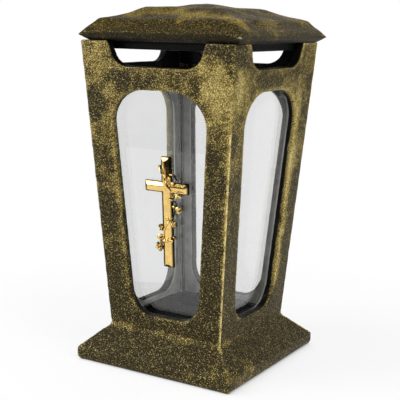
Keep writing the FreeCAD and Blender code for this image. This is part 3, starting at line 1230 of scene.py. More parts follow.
    def build(self) -> bpy.types.Object:
        """Make the skin, let it carry its paint values, roll its mouths and dress it.

        Returns:
            The cast body.
        """
        skin = CastSkin("body_casting", self.voxel)
        self.sharpen_hips(skin)
        rim = self.rim(skin)
        rim_waves = swell(skin.points, self.rim_tone_length, Draw.WINDOW_RIM)
        rim_tone = (self.rim_tone + (1 - self.rim_tone) * rim_waves).clip(0, 1)
        # Edge wear, with painted highlight on the near hip and on the arrises that face the light.
        skin.carry("edge", np.maximum(self.hip_wear_and_highlight(skin), self.arris_wear_and_highlight(skin)))
        skin.carry("outer", self.outer(skin))
        # Nearness to the windows' mouths, which the finish turns into a painted highlight.
        skin.carry("rim", rim * rim_tone)
        skin.carry("reach", self.reach(skin))
        skin.carry("paint", self.paint(skin))
        skin.carry("shade", self.shade(skin))
        self.roll_mouths(skin, rim)
        piece = skin.made
        piece.name = "cast_body"
        wear(piece, self.finish)
        piece.data.shade_smooth()
        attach(piece, Body.LANTERN.value)
        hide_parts("body_casting")
        return piece

    def roll_mouths(self, skin: CastSkin, rim: np.ndarray) -> None:
        """Roll the windows' mouths inwards and give the skin its slow waves.

        Args:
            skin: the body's skin.
            rim: how near each point is to the mouth of a window.
        """
        depth = WALL.depth(skin.points)
        roll = self.rim_roll * np.where(depth < self.face_depth, rim, 0) ** 2
        wave = swell(skin.points, self.wave_length, Draw.BODY_WAVES) * self.wave_height
        wave *= np.where(depth > self.inside_depth, self.inside_wave_share, 1)
        wave *= smooth_step(skin.points[:, 2], 0, self.foot_edge_height)
        skin.points += (wave - roll)[:, None] * skin.normals
        skin.write()

    def profile_half(self, skin: CastSkin) -> np.ndarray:
        """Half width of the casting's outside at each point's height, read off its flat sides.

        Args:
            skin: the body's skin.

        Returns:
            The half width at each point.
        """
        half = np.abs(skin.points[:, :2]).max(axis=1)
        level = np.round(skin.points[:, 2] / self.voxel).astype(int)
        level -= level.min()
        widest = np.zeros(level.max() + 1)
        np.maximum.at(widest, level, half)
        return widest[level]

    def sharpen_hips(self, skin: CastSkin) -> None:
        """Push the outside back to its flat faces near the hips, so that they stay crisp.

        Args:
            skin: the body's skin.
        """
        outside = self.profile_half(skin)
        for axis in (0, 1):
            along = np.abs(skin.points[:, 1 - axis])
            size = np.abs(skin.points[:, axis])
            near_hip = (along > outside - self.hip_reach) & (size > outside - self.hip_depth)
            near_hip &= size >= along - self.hip_width
            skin.points[:, axis] = np.where(
                near_hip, np.sign(skin.points[:, axis]) * outside, skin.points[:, axis])
        skin.write()

    def hip_wear_and_highlight(self, skin: CastSkin) -> np.ndarray:
        """Share of the thin worn line along each hip, with a painted highlight that makes the near hip
        brightest.

        Args:
            skin: the body's skin.

        Returns:
            The share at each point.
        """
        outside = self.profile_half(skin)
        wide, deep = np.abs(skin.points[:, 0]), np.abs(skin.points[:, 1])
        reach = np.where(deep >= wide, self.front_line_reach, self.hip_line_reach)
        line = np.clip((np.minimum(wide, deep) - outside + reach) / (reach - self.hip_width), 0, 1)
        height = skin.points[:, 2]
        near_hip = self.near_hip_foot.rising(height) * self.near_hip_head.falling(height)
        far_hip = self.far_hip_share * self.far_hip_foot.rising(height)
        at_near_hip = (skin.points[:, 0] > 0) & (skin.points[:, 1] < 0)
        return np.where(at_near_hip, near_hip, far_hip) * line

    def arris_wear_and_highlight(self, skin: CastSkin) -> np.ndarray:
        """Share of wear along the other edges, with painted highlight on the right window's rear arris
        and the front window's left arris, which get the most.

        Args:
            skin: the body's skin.

        Returns:
            The share at each point.
        """
        x, y = skin.points[:, 0], skin.points[:, 1]
        share = np.where((x > np.abs(y)) & (y > 0), self.rear_arris_highlight_share, self.arris_share)
        share = np.where((y < -np.abs(x)) & (x < 0), self.left_arris_highlight_share, share)
        return share * skin.edge_share(1)

    def outer(self, skin: CastSkin) -> np.ndarray:
        """Share of the outer paint: whole outside, fading a little way into each opening.

        Args:
            skin: the body's skin.

        Returns:
            The share at each point.
        """
        depth = WALL.depth(skin.points)
        height = skin.points[:, 2]
        at_vents = height > self.vent_floor - self.vent_margin
        outer = np.where(at_vents, self.vent_outer_fade.falling(depth), self.outer_fade.falling(depth))
        return np.where(height < WALL.waist_height, self.paint(skin), outer)

    def rim(self, skin: CastSkin) -> np.ndarray:
        """How near each point is to the mouth of a window, from 0 to 1.

        Args:
            skin: the body's skin.

        Returns:
            The nearness at each point.
        """
        depth = WALL.depth(skin.points)
        height = skin.points[:, 2]
        along = np.abs(skin.points[:, :2]).min(axis=1)
        in_windows = (height > self.window_low) & (height < self.window_high)
        in_windows &= along < WALL.face_half(height) - self.column
        mouth = in_windows & (depth > self.mouth_start) & (depth < self.mouth_end)
        return 1 - skin.distance_from(mouth, self.rim_reach) / self.rim_reach

    def reach(self, skin: CastSkin) -> np.ndarray:
        """How deep behind the outer face the gold goes at each point.

        Args:
            skin: the body's skin.

        Returns:
            The depths.
        """
        upwards = self.upward_fade.rising(skin.normals[:, 2])
        tongues = swell(skin.points, self.tongue_length, Draw.GOLD_REACH)
        jamb = self.jamb_reach + self.tongue_fade.rising(tongues) * self.tongue_reach
        x, y, height = skin.points.T
        left_rear = (x < -np.abs(y) + self.column) & (skin.normals[:, 1] < -self.sideways) & (y > 0)
        front_left = (y < -np.abs(x) + self.column) & (skin.normals[:, 0] > self.sideways) & (x < 0)
        jamb = np.where(left_rear, self.rear_jamb_reach, jamb)
        jamb = np.where(front_left, self.left_jamb_reach, jamb)
        reach = jamb + (self.sill_reach - jamb) * upwards
        below_vents, at_vent_floor = (self.vent_floor - margin for margin in self.vent_blend)
        at_vents = smooth_step(height, below_vents, at_vent_floor)
        return reach + (self.vent_reach - reach) * at_vents

    def paint(self, skin: CastSkin) -> np.ndarray:
        """Share of paint that the sponge could lay on the foot: all outside, none under it.

        Args:
            skin: the body's skin.

        Returns:
            The share at each point, which is 1 above the foot.
        """
        height = skin.points[:, 2]
        rise = (WALL.waist_height - height) / (WALL.waist_height - self.foot_edge_height)
        slope_half = WALL.waist_half + (self.foot_half - WALL.waist_half) * np.clip(rise, 0, 1)
        depth = slope_half - np.abs(skin.points[:, :2]).max(axis=1)
        on_foot = self.foot_depth_fade.falling(depth) * self.foot_height_fade.rising(height)
        return np.where(height > WALL.waist_height, 1.0, on_foot)

    def shade(self, skin: CastSkin) -> np.ndarray:
        """Where the gold is thinner: patches, darker lower walls, and painted shade on the middle of
        the foot's slope; the cove above the foot gets a painted highlight.

        Args:
            skin: the body's skin.

        Returns:
            The shade at each point, below 0 where the gold is thicker.
        """
        height = skin.points[:, 2]
        shade = self.low_shade * self.low_fade.falling(height)
        for band in self.bands:
            shade += band.share(height)
        for patch in self.patches:
            shade += patch.share(skin.points)
        return shade


@dataclass(frozen=True)
class LidPatch:
    """Place on the lid with less gold, or more, from the lid's middle, partly patchy gold and partly
    painted light and shade on its facets.
    """

    across: float
    along: float
    reach_across: float
    reach_along: float
    strength: float
    edge: Fade = Fade(0.2, 1.4)
    ragged: float = 0.25
    ragged_length: float = 14 * MM

    def share(self, local: np.ndarray) -> np.ndarray:
        """How much the patch shades each point, up to its strength.

        Args:
            local: places from the lid's middle, one to a row.

        Returns:
            The shade at each point.
        """
        across = (local[:, 0] - self.across) / self.reach_across
        along = (local[:, 1] - self.along) / self.reach_along
        waves = swell(local, self.ragged_length, Draw.PATCH_EDGE)
        distance = np.sqrt(across ** 2 + along ** 2) + self.ragged * waves
        return self.strength * self.edge.falling(distance)


@dataclass
class LidCasting:
    """Loose cast lid, modelled by hand like dressed stone, with a dark undercut edge."""

    voxel: float = 0.95 * MM
    edge_rise: float = 4.4 * MM
    rise: float = 30.7 * MM
    step_shares: tuple[tuple[float, float], ...] = (
        (0.838, 0.56), (0.69, 0.655), (0.60, 0.736), (0.478, 0.866), (0.268, 0.889), (0.102, 0.964),
    )
    wave_height: float = 0.7 * MM
    wave_length: float = 24 * MM
    crease_lift: float = 2.4 * MM
    corner_reach: float = 11 * MM
    tip_reach: float = 7 * MM
    tip_push: float = 0.3 * MM
    band_paint: float = 0.3
    quiet_edge_share: float = 0.4
    worn_side_overlap: float = 6 * MM
    painted_under_top: Fade = Fade(0.5 * MM, 1.5 * MM)
    shaped_under_top: Fade = Fade(1 * MM, 3 * MM)
    lifted_under_top: Fade = Fade(1 * MM, 5 * MM)
    painted_rim: float = 9 * MM
    outer_from_edge: Fade = Fade(2 * MM, 4 * MM)
    lifted_from_edge: Fade = Fade(1 * MM, 9 * MM)
    crown_inset: float = 12 * MM
    wave_squash: float = 1.6
    slow_shade: float = 0.3
    slow_shade_length: float = 34 * MM
    slow_fade: Fade = Fade(0.2, 1.2)
    band_shade: float = 0.2
    band_from_edge: Fade = Fade(3 * MM, 12 * MM)
    patches: tuple[LidPatch, ...] = (
        LidPatch(-4 * MM, -68 * MM, 17 * MM, 12 * MM, 0.5),
        LidPatch(47 * MM, -68 * MM, 26 * MM, 11 * MM, 0.6),
        LidPatch(-3 * MM, -44 * MM, 20 * MM, 9 * MM, -0.4),
        LidPatch(-36 * MM, -60 * MM, 20 * MM, 9 * MM, 0.35),
        LidPatch(30 * MM, -51 * MM, 20 * MM, 9 * MM, -0.5),
        LidPatch(60 * MM, -59 * MM, 18 * MM, 9 * MM, -0.6),
        LidPatch(-50 * MM, -55 * MM, 22 * MM, 8 * MM, -0.4),
        LidPatch(72 * MM, -22 * MM, 10 * MM, 16 * MM, -0.3),
        LidPatch(62 * MM, 25 * MM, 12 * MM, 16 * MM, 0.4),
    )
    finish: Finish = SpongedCasting(
        "sponged lid", gold=srgb(232, 204, 110), veil=srgb(92, 74, 6), enamel=srgb(22, 20, 12),
        rubbed_and_highlight=srgb(186, 180, 152), cover=0.12, edge_gain=0.05, line_wear=0.25)

    def build(self) -> bpy.types.Object:
        """Make the skin, model its stone-like top, carry its values and dress it.

        Returns:
            The cast lid.
        """
        skin = CastSkin("lid_casting", self.voxel, passes=1)
        low, high = (np.array(corner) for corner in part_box("lid_casting"))
        middle = (low + high) / 2
        edge_half = (high[1] - low[1]) / 2
        local = skin.points - np.array([middle[0], middle[1], 0])
        half = np.abs(local[:, :2]).max(axis=1)
        along = np.abs(local[:, :2]).min(axis=1)
        under_top = self.top_height(half, edge_half) - skin.points[:, 2]
        from_edge = edge_half - half
        on_worn_side = local[:, 0] > np.abs(local[:, 1]) - self.worn_side_overlap
        skin.carry("edge", np.where(on_worn_side, 1, self.quiet_edge_share) * skin.edge_share(1))
        on_top = self.painted_under_top.falling(under_top)
        skin.carry("paint", np.maximum(on_top, self.band_paint * (from_edge < self.painted_rim)))
        skin.carry("outer", np.maximum(on_top, self.outer_from_edge.falling(from_edge)))
        skin.carry("reach", np.ones(len(half)))
        skin.carry("shade", self.shade(skin, local, from_edge))
        lift = self.crease_lift * self.lifted_from_edge.falling(from_edge)
        lift *= smooth_step(edge_half - along, 0, self.corner_reach)
        lift *= self.lifted_under_top.falling(under_top)
        squashed = skin.points * np.array([1, 1, self.wave_squash])
        wave = swell(squashed, self.wave_length, Draw.LID_WAVES) * self.wave_height
        wave *= self.shaped_under_top.falling(under_top) * smooth_step(from_edge, 0, self.crown_inset)
        skin.points[:, 2] += lift + wave
        tip = smooth_step(along, edge_half - self.tip_reach, edge_half)
        skin.points[:, :2] += (self.tip_push * tip)[:, None] * np.sign(local[:, :2])
        skin.write()
        piece = skin.made
        piece.name = "cast_lid"
        wear(piece, self.finish)
        piece.data.shade_smooth()
        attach(piece, Body.LID.value)
        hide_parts("lid_casting")
        return piece

    def top_height(self, half: np.ndarray, edge_half: float) -> np.ndarray:
        """Height of the lid's top over a half width.

        Args:
            half: distances from the lid's middle, square to its edge.
            edge_half: half width of the lid.

        Returns:
            The heights in the lantern's frame.
        """
        steps = self.step_shares[::-1]
        halves = [0.0, *(edge_half * share for share, _ in steps), edge_half]
        rises = [self.rise, *(self.rise * share for _, share in steps), self.edge_rise]
        return WALL.rim_height + np.interp(half, halves, rises)

    def shade(self, skin: CastSkin, local: np.ndarray, from_edge: np.ndarray) -> np.ndarray:
        """Where the gold is thinner on the lid: slow patches, painted light and shade on its facets,
        and painted shade at the foot of its steep band.

        Args:
            skin: the lid's skin.
            local: its points, from the lid's middle.
            from_edge: how far each lies inside the lid's edge.

        Returns:
            The shade at each point.
        """
        slow = swell(skin.points, self.slow_shade_length, Draw.LID_SHADE)
        shade = self.slow_fade.rising(slow) * self.slow_shade
        # Painted shade on the steep band near the lid's edge.
        shade += self.band_shade * self.band_from_edge.falling(from_edge)
        for patch in self.patches:
            shade += patch.share(local)
        return shade


@dataclass
class Glazing:
    """Four glass panes in their sealing beds."""

    glass: Finish = WindowGlass("window glass")
    sealant: Finish = Sealant("grey sealant")
    edge_bevel: float = 0.3 * MM

    def build(self) -> list[bpy.types.Object]:
        """Dress the panes and their beds.

        Returns:
            The panes and the beds.
        """
        dressed = []
        for side in Side:
            pane = dress_node(side.name.lower() + "_pane", self.glass)
            soften(pane, self.edge_bevel)
            dressed.append(pane)
            dressed.append(dress_node(side.name.lower() + "_pane_bedding", self.sealant))
        return dressed


def dress_node(name: str, finish: Finish) -> bpy.types.Object:
    """Give a piece of the frame its finish.

    Args:
        name: the node's name.
        finish: the finish that it gets.

    Returns:
        The piece.
    """
    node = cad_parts[name]
    wear(node, finish)
    return node


@dataclass
class Fixings:
    """Clips that hold the heads of the panes, and their pan head screws."""

    plate: Finish = BlackZinc("black zinc strip")
    steel: Finish = BlackZinc("black zinc screw", bright=srgb(56, 56, 56), bloom=srgb(34, 34, 34))
    clip_bevel: float = 0.15 * MM
    clip_spacing: float = 50 * MM
    clip_height: float = 10 * MM
    clip_vent_gap: float = 0.8 * MM
    clip_thickness: float = 1 * MM
    vent_depth: float = 19.8 * MM
    head_radius: float = 2.6 * MM
    head_height: float = 1.8 * MM
    shank_radius: float = 1.45 * MM
    shank_length: float = 4.6 * MM
    recess_reach: float = 1.35 * MM
    recess_width: float = 0.55 * MM
    recess_depth: float = 1.0 * MM
    recess_floor_share: float = 0.45
    recess_mouth_share: float = 1.2
    brim_share: float = 0.35
    point_share: float = 0.3
    point_length: float = 0.8 * MM
    point_start: float = 0.6 * MM
    crown_radius: float = 0.1 * MM
    side_turn: float = 0.4
    across_turn: float = 0.7
    sides: int = 32
    dome_steps: int = 6

    @property
    def screw_climb(self) -> float:
        """Climb of the screws: the middle of the clips, which hang under the vents."""
        return WALL.rim_climb - self.vent_depth - self.clip_vent_gap - self.clip_height / 2

    def build(self) -> list[bpy.types.Object]:
        """Dress the clips and make the screws.

        Returns:
            The clips and the screws.
        """
        dressed = []
        for side in Side:
            clips = dress_node(side.name.lower() + "_pane_clips", self.plate)
            soften(clips, self.clip_bevel)
            dressed.append(clips)
        dressed.append(self.screws())
        return dressed

    def lathe(self, profile: list[tuple[float, float]]) -> list[Ring]:
        """Rings of a turned shape, from (radius, height) pairs along +Y.

        Args:
            profile: the pairs, in order along the shape.

        Returns:
            The rings.
        """
        turns = [2 * math.pi * step / self.sides for step in range(self.sides)]
        return [
            [Vector((radius * math.cos(turn), height, radius * math.sin(turn))) for turn in turns]
            for radius, height in profile
        ]

    def screws(self) -> bpy.types.Object:
        """All eight screws as one piece, each with a cross recess in its domed head.

        Returns:
            The screws.
        """
        screw = Sketch()
        screw.skin(self.lathe(self.profile()))
        made = new_object("clip_screw_heads", screw.mesh("clip_screw", Matrix()))
        for name, turn in (("recess_a", 0), ("recess_b", math.pi / 2)):
            combine(made, self.recess_cutter(name, turn), "DIFFERENCE")
        single = made.data
        work = bmesh.new()
        for side in Side:
            for across in (-1, 1):
                copy = single.copy()
                copy.transform(self.seat(side, across))
                work.from_mesh(copy)
                bpy.data.meshes.remove(copy)
        joined = bpy.data.meshes.new("clip_screw_heads")
        work.to_mesh(joined)
        work.free()
        made.data = joined
        joined.shade_smooth()
        wear(made, self.steel)
        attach(made, Body.LANTERN.value)
        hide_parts("clip_screws")
        return made

    def profile(self) -> list[tuple[float, float]]:
        """Outline of a screw as (radius, height) pairs from its point to its crown.

        Returns:
            The pairs, with the underside of the head at height 0.
        """
        end = -self.shank_length - self.clip_thickness + self.point_start
        angles = [math.pi / 2 * step / self.dome_steps for step in range(self.dome_steps)]
        rises = [self.brim_share + (1 - self.brim_share) * math.sin(angle) for angle in angles]
        return [
            (self.point_share * self.shank_radius, end - self.point_length),
            (self.shank_radius, end),
            (self.shank_radius, 0),
            (self.head_radius, 0),
            *((self.head_radius * math.cos(a), self.head_height * up) for a, up in zip(angles, rises)),
            (self.crown_radius, self.head_height),
        ]

    def seat(self, side: Side, across: int) -> Matrix:
        """Place of a screw.

        Args:
            side: the wall that it is in.
            across: -1 for the left clip, 1 for the right one.

        Returns:
            The screw's axes in the lantern's frame, each turned by a different amount.
        """
        under_head = WALL.thickness + self.clip_thickness
        hole = Matrix.Translation((across * self.clip_spacing / 2, under_head, self.screw_climb))
        turn = self.side_turn * side.value + self.across_turn * across
        return WALL.matrix(side) @ hole @ Matrix.Rotation(turn, 4, "Y")

    def recess_cutter(self, name: str, turn: float) -> bpy.types.Object:
        """Tapering cutter for one bar of the cross recess in a screw's head.

        Args:
            name: the cutter's name.
            turn: its turn about the screw.

        Returns:
            The cutter.
        """
        levels = (
            (self.head_height - self.recess_depth, self.recess_floor_share),
            (self.head_height + self.recess_depth, self.recess_mouth_share),
        )
        rings = []
        for height, share in levels:
            long, short = self.recess_reach * share, self.recess_width / 2
            corners = [(long, short), (-long, short), (-long, -short), (long, -short)]
            rings.append([Vector((x, height, z)) for x, z in corners])
        cutter = Sketch()
        cutter.skin(rings)
        return new_object(name, cutter.mesh(name, Matrix.Rotation(turn, 4, "Y")))


@dataclass
class CrossOrnament:
    """Gilt cross of two bevelled bars on the front pane, with its foam pads."""

    offset: float = 3.35 * MM
    window_bottom: float = 43.7 * MM
    above_sill: float = 43.6 * MM
    back_depth: float = 8.0 * MM
    length: float = 92 * MM
    foot_width: float = 9.8 * MM
    head_width: float = 9.2 * MM
    bar_length: float = 41 * MM
    bar_width: float = 9 * MM
    bar_height: float = 67 * MM
    depth: float = 4.4 * MM
    side_depth: float = 2.6 * MM
    flat_share: float = 0.3
    edge_round: float = 0.6 * MM
    round_steps: int = 4
    round_angle: float = 18
    finish: Finish = GiltPlate("gilt plate")
    foam: Finish = Foam("adhesive foam")

    @property
    def foot_climb(self) -> float:
        """Climb of the cross's foot along the front wall."""
        return self.window_bottom / math.cos(WALL.lean) + self.above_sill

    def build(self) -> list[bpy.types.Object]:
        """Make the cross and dress its pads.

        Returns:
            The cross and the pads.
        """
        beam = self.bar("gilt_cross", self.foot_width, self.head_width, self.length)
        arms = self.bar("arms", self.bar_width, self.bar_width, self.bar_length)
        across = Matrix.Translation((-self.bar_length / 2, 0, self.bar_height))
        arms.data.transform(across @ Matrix.Rotation(math.pi / 2, 4, "Y"))
        combine(beam, arms, "UNION")
        soften(beam, self.edge_round, self.round_steps, self.round_angle)
        applied(beam)
        seat = Matrix.Translation((self.offset, self.back_depth, self.foot_climb))
        beam.data.transform(WALL.matrix(Side.FRONT) @ seat)
        wear(beam, self.finish)
        beam.data.shade_smooth()
        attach(beam, Body.LANTERN.value)
        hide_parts("cross_ornament")
        return [beam, dress_node("ornament_pads", self.foam)]

    def bar(self, name: str, foot_width: float, head_width: float, length: float) -> bpy.types.Object:
        """Bar along Z, bevelled to a flat front, with its back on y = 0 and its foot on z = 0.

        Args:
            name: the bar's name.
            foot_width: its width at the foot.
            head_width: its width at the head.
            length: its length.

        Returns:
            The bar.
        """
        bevel = head_width / 2 * (1 - self.flat_share)

        def outline(depth: float, inset: float) -> Ring:
            """Outline of the bar at a depth, drawn in by an inset.

            Args:
                depth: how far the outline lies before the bar's back.
                inset: how far it is drawn in on every side.

            Returns:
                The outline.
            """
            foot, head = foot_width / 2 - inset, head_width / 2 - inset
            corners = [(-foot, inset), (foot, inset), (head, length - inset), (-head, length - inset)]
            return [Vector((x, -depth, z)) for x, z in corners]

        sketch = Sketch()
        sketch.skin([outline(0, 0), outline(self.side_depth, 0), outline(self.depth, bevel)])
        return new_object(name, sketch.mesh(name, Matrix()))


@dataclass(frozen=True)
class PetalLayer:
    """Ring of petals in an open rose, with sizes as shares of the rose's radius.

    Its lean goes from 0 for upright petals to 1 for flat ones.
    """

    reach: float
    count: int
    lean: float
    height: float


@dataclass
class RoseVine:
    """Gilt rose vine that winds round the cross: stems, leaves, roses and buds."""

    cross: CrossOrnament
    stem_radius: float = 0.8 * MM
    stem_lift: float = 0.5 * MM
    stem_steps: int = 6
    stem_sides: int = 10
    stem_tip_share: float = 0.3
    knots: int = 9
    knot_share: float = 0.12
    leaf_length: float = 9.4 * MM
    leaf_width: float = 5.4 * MM
    leaf_thickness: float = 0.6 * MM
    leaf_steps: int = 16
    leaf_columns: int = 9
    leaf_tip_share: float = 0.06
    leaf_bow_share: float = 0.18
    tooth_share: float = 0.1
    rib_share: float = 0.06
    fold_share: float = 0.35
    cup_share: float = 0.22
    rose_radius: float = 3.1 * MM
    rose_sink_share: float = 0.12
    petal_layers: tuple[PetalLayer, ...] = (
        PetalLayer(0.3, 3, 0.05, 1.0),
        PetalLayer(0.52, 4, 0.25, 0.95),
        PetalLayer(0.76, 5, 0.55, 0.75),
        PetalLayer(1.0, 5, 1.0, 0.5),
    )
    petal_steps: int = 7
    petal_columns: int = 9
    petal_overlap: float = 1.25
    petal_thickness_share: float = 0.07
    petal_foot_share: float = 0.25
    petal_droop_share: float = 0.35
    petal_lip_share: float = 0.1
    bud_radius: float = 1.6 * MM
    bud_sides: int = 12
    bud_stand: float = 0.45
    bud_twist: float = 0.5
    sepals: int = 3
    sepal_share: float = 0.08
    bud_profile_shares: tuple[tuple[float, float], ...] = (
        (0.25, -1.0), (0.75, -0.8), (1.0, -0.3), (0.98, 0.2), (0.7, 0.85), (0.3, 1.3), (0.06, 1.5),
    )
    # The vine's gilding also gets painted shade where it nears the pane.
    finish: Finish = GiltPlate(
        "gilt vine", bright=srgb(236, 206, 130), deep=srgb(178, 142, 70), painted_shade_depth=4.6 * MM,
        painted_shade_blur=0.9 * MM)
    upper_stem_shares: tuple[tuple[float, float], ...] = (
        (-0.14, 0.92), (-0.09, 0.875), (-0.02, 0.835), (0.01, 0.795), (0.04, 0.75),
        (0.12, 0.715), (0.20, 0.675),
    )
    lower_stem_shares: tuple[tuple[float, float], ...] = (
        (0.08, 0.633), (0.15, 0.611), (0.21, 0.59), (0.175, 0.525), (0.125, 0.46),
        (0.05, 0.414), (-0.015, 0.374), (-0.055, 0.33), (-0.08, 0.255), (-0.15, 0.205),
    )
    tendril_shares: tuple[tuple[float, float], ...] = (
        (0.115, 0.85), (0.18, 0.843), (0.215, 0.814), (0.27, 0.795),
    )
    rose_shares: tuple[tuple[float, float, float], ...] = (
        (0.09, 0.797, 1), (0.16, 0.405, 1), (-0.145, 0.361, 0.95), (-0.195, 0.183, 1.25),
    )
    bud_shares: tuple[tuple[float, float, float], ...] = (
        (0.18, 0.772, 40), (0.14, 0.652, 110), (0.275, 0.661, 60), (0.16, 0.56, 20),
        (0.035, 0.453, 80), (-0.02, 0.253, 200), (0.025, 0.257, 250), (0.11, 0.257, 300),
        (0.155, 0.278, 330), (-0.13, 0.905, 150),
    )
    leaf_shares: tuple[tuple[float, float, float, float], ...] = (
        (0.17, 0.518, 1, 23), (-0.05, 0.30, 0.8, 205), (-0.12, 0.262, 0.6, 250),
        (0.215, 0.675, 0.7, -12),
    )

    def build(self) -> bpy.types.Object:
        """Make every part of the vine as one piece and dress it.

        Returns:
            The vine.
        """
        sketch = Sketch()
        for shares in (self.upper_stem_shares, self.lower_stem_shares, self.tendril_shares):
            sketch.skin(self.stem([self.place(*pair) for pair in shares]))
        for across, up, size, turn in self.leaf_shares:
            sketch.skin(self.leaf(self.place(across, up), size, math.radians(turn)))
        for number, (across, up, size) in enumerate(self.rose_shares):
            for petal in self.rose(self.place(across, up), size, number):
                sketch.skin(petal)
        for across, up, turn in self.bud_shares:
            for shape in self.bud(self.place(across, up), math.radians(turn)):
                sketch.skin(shape)
        piece = new_object("gilt_rose_vine", sketch.mesh("gilt_rose_vine", WALL.matrix(Side.FRONT)))
        wear(piece, self.finish)
        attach(piece, Body.LANTERN.value)
        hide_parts("rose_vine")
        return piece

    def place(self, across_share: float, up_share: float) -> Vector:
        """Point of the vine in wall axes: over the cross, or lower beside it.

        Args:
            across_share: place across, from the beam's middle, as a share of the bar's length.
            up_share: place up the beam, as a share of its length.

        Returns:
            The point.
        """
        cross = self.cross
        across = cross.bar_length * across_share
        up = cross.length * up_share
        on_beam = abs(across) < cross.foot_width / 2
        on_bar = abs(up - cross.bar_height) < cross.bar_width / 2 + self.stem_radius
        over = on_beam or on_bar
        lift = cross.depth + self.stem_lift if over else cross.side_depth - self.stem_lift
        return Vector((cross.offset + across, cross.back_depth - lift, cross.foot_climb + up))

    def stem(self, points: list[Vector]) -> list[Ring]:
        """Tapering round stem along a smooth line through points.

        Args:
            points: points on the stem, in order.

        Returns:
            Rings along the stem.
        """
        line = smooth_line(points, self.stem_steps)
        rings = []
        for index, centre in enumerate(line):
            share = index / (len(line) - 1)
            taper = math.sin(math.pi * min(1, 0.12 + share * 0.94)) ** 0.35
            knot = 1 + self.knot_share * math.sin(self.knots * share * math.pi)
            radius = self.stem_radius * max(self.stem_tip_share, taper) * knot
            ahead = line[min(index + 1, len(line) - 1)] - line[max(index - 1, 0)]
            rings.append(circle(centre, ahead, radius, self.stem_sides))
        return rings

    def leaf(self, foot: Vector, size: float, turn: float) -> list[Ring]:
        """Pointed leaf with a fold along its middle and a toothed edge.

        Args:
            foot: where the leaf starts.
            size: its size, as a share of the usual one.
            turn: its direction on the wall, from +X.

        Returns:
            Rings along the leaf.
        """
        length, half = self.leaf_length * size, self.leaf_width * size / 2
        along = Vector((math.cos(turn), 0, math.sin(turn)))
        across = Vector((-math.sin(turn), 0, math.cos(turn)))
        out = Vector((0, -1, 0))
        rings = []
        for step in range(self.leaf_steps + 1):
            share = step / self.leaf_steps
            wave = math.cos(step * math.pi)
            tooth = 1 + self.tooth_share * wave
            wide = max(self.leaf_tip_share, math.sin(math.pi * share ** 0.85) ** 0.8 * tooth) * half
            bow = self.leaf_bow_share * length * math.sin(math.pi * share * 0.9)
            ribs = self.rib_share * half * wave
            top = []
            for column in range(self.leaf_columns):
                side = 2 * column / (self.leaf_columns - 1) - 1
                fold = self.fold_share * wide * abs(side) - self.cup_share * wide * side * side
                rise = bow + fold + ribs * abs(side)
                top.append(foot + along * (length * share) + across * (wide * side) + out * rise)
            under = [point - out * self.leaf_thickness for point in reversed(top)]
            rings.append(top + under)
        return rings

    def rose(self, centre: Vector, size: float, number: int) -> list[list[Ring]]:
        """Open rose: cupped petals in rings round a tight heart.

        Args:
            centre: the rose's middle.
            size: its size, as a share of the usual one.
            number: its place in the list, which turns it.

        Returns:
            The rings of each petal.
        """
        radius = self.rose_radius * size
        petals = []
        for ring, layer in enumerate(self.petal_layers):
            for index in range(layer.count):
                turn = 2 * math.pi * (index / layer.count + 0.19 * ring + 0.13 * number)
                petals.append(self.petal(centre, radius, turn, layer))
        return petals

    def petal(self, centre: Vector, radius: float, turn: float, layer: PetalLayer) -> list[Ring]:
        """One cupped petal with a rolled lip.

        Args:
            centre: middle of the rose.
            radius: the rose's radius.
            turn: direction of the petal round the rose.
            layer: the ring of petals that it is in.

        Returns:
            Rings along the petal from its foot to its lip.
        """
        rings = []
        foot = self.petal_foot_share
        half_angle = math.pi / layer.count * self.petal_overlap
        half_thickness = self.petal_thickness_share * radius / 2
        for step in range(self.petal_steps + 1):
            share = step / self.petal_steps
            distance = radius * layer.reach * (foot + (1 - foot) * share ** (1 + layer.lean))
            droop = self.petal_droop_share * layer.lean * share ** 3
            rise = radius * layer.height * (math.sin(share * math.pi / 2) - droop)
            spread = half_angle * math.sin(math.pi * (0.12 + 0.78 * share)) ** 0.6
            outer, inner = [], []
            for column in range(self.petal_columns):
                side = 2 * column / (self.petal_columns - 1) - 1
                angle = turn + spread * side
                lip = self.petal_lip_share * radius * share * math.cos(side * 2.5)
                for ring, sign in ((outer, 1), (inner, -1)):
                    flat = distance + sign * half_thickness
                    up = rise + lip - self.rose_sink_share * radius
                    ring.append(centre + Vector((flat * math.cos(angle), -up, flat * math.sin(angle))))
            rings.append(outer + inner[::-1])
        return rings

    def bud(self, centre: Vector, turn: float) -> list[list[Ring]]:
        """Closed bud with three sepals, pointing along a direction on the wall.

        Args:
            centre: the bud's middle.
            turn: its direction on the wall, from +X.

        Returns:
            The rings of the bud, as its only shape.
        """
        radius = self.bud_radius
        along = Vector((math.cos(turn), -self.bud_stand, math.sin(turn))).normalized()
        rings = []
        for number, (wide, far) in enumerate(self.bud_profile_shares):
            middle = centre + along * far * radius
            ring = circle(middle, along, radius * wide, self.bud_sides)
            for index in range(self.bud_sides):
                angle = 2 * math.pi * index / self.bud_sides + self.bud_twist * number
                pinch = 1 + self.sepal_share * math.cos(self.sepals * angle)
                ring[index] = middle + (ring[index] - middle) * pinch
            rings.append(ring)
        return [rings]


def smooth_line(points: list[Vector], steps: int) -> list[Vector]:
    """Smooth line through points, with some steps from each to the next.

    Args:
        points: the points, in order.
        steps: steps from each point to the next.

    Returns:
        Points along the line.
    """
    line = []
    for index in range(len(points) - 1):
        before = points[max(index - 1, 0)]
        first, second = points[index], points[index + 1]
        after = points[min(index + 2, len(points) - 1)]
        for step in range(steps):
            t = step / steps
            pull_in = (second - before) / 2
            pull_out = (after - first) / 2
            line.append(
                first * (2 * t ** 3 - 3 * t ** 2 + 1) + pull_in * (t ** 3 - 2 * t ** 2 + t)
                + second * (3 * t ** 2 - 2 * t ** 3) + pull_out * (t ** 3 - t ** 2))
    return line + [points[-1]]


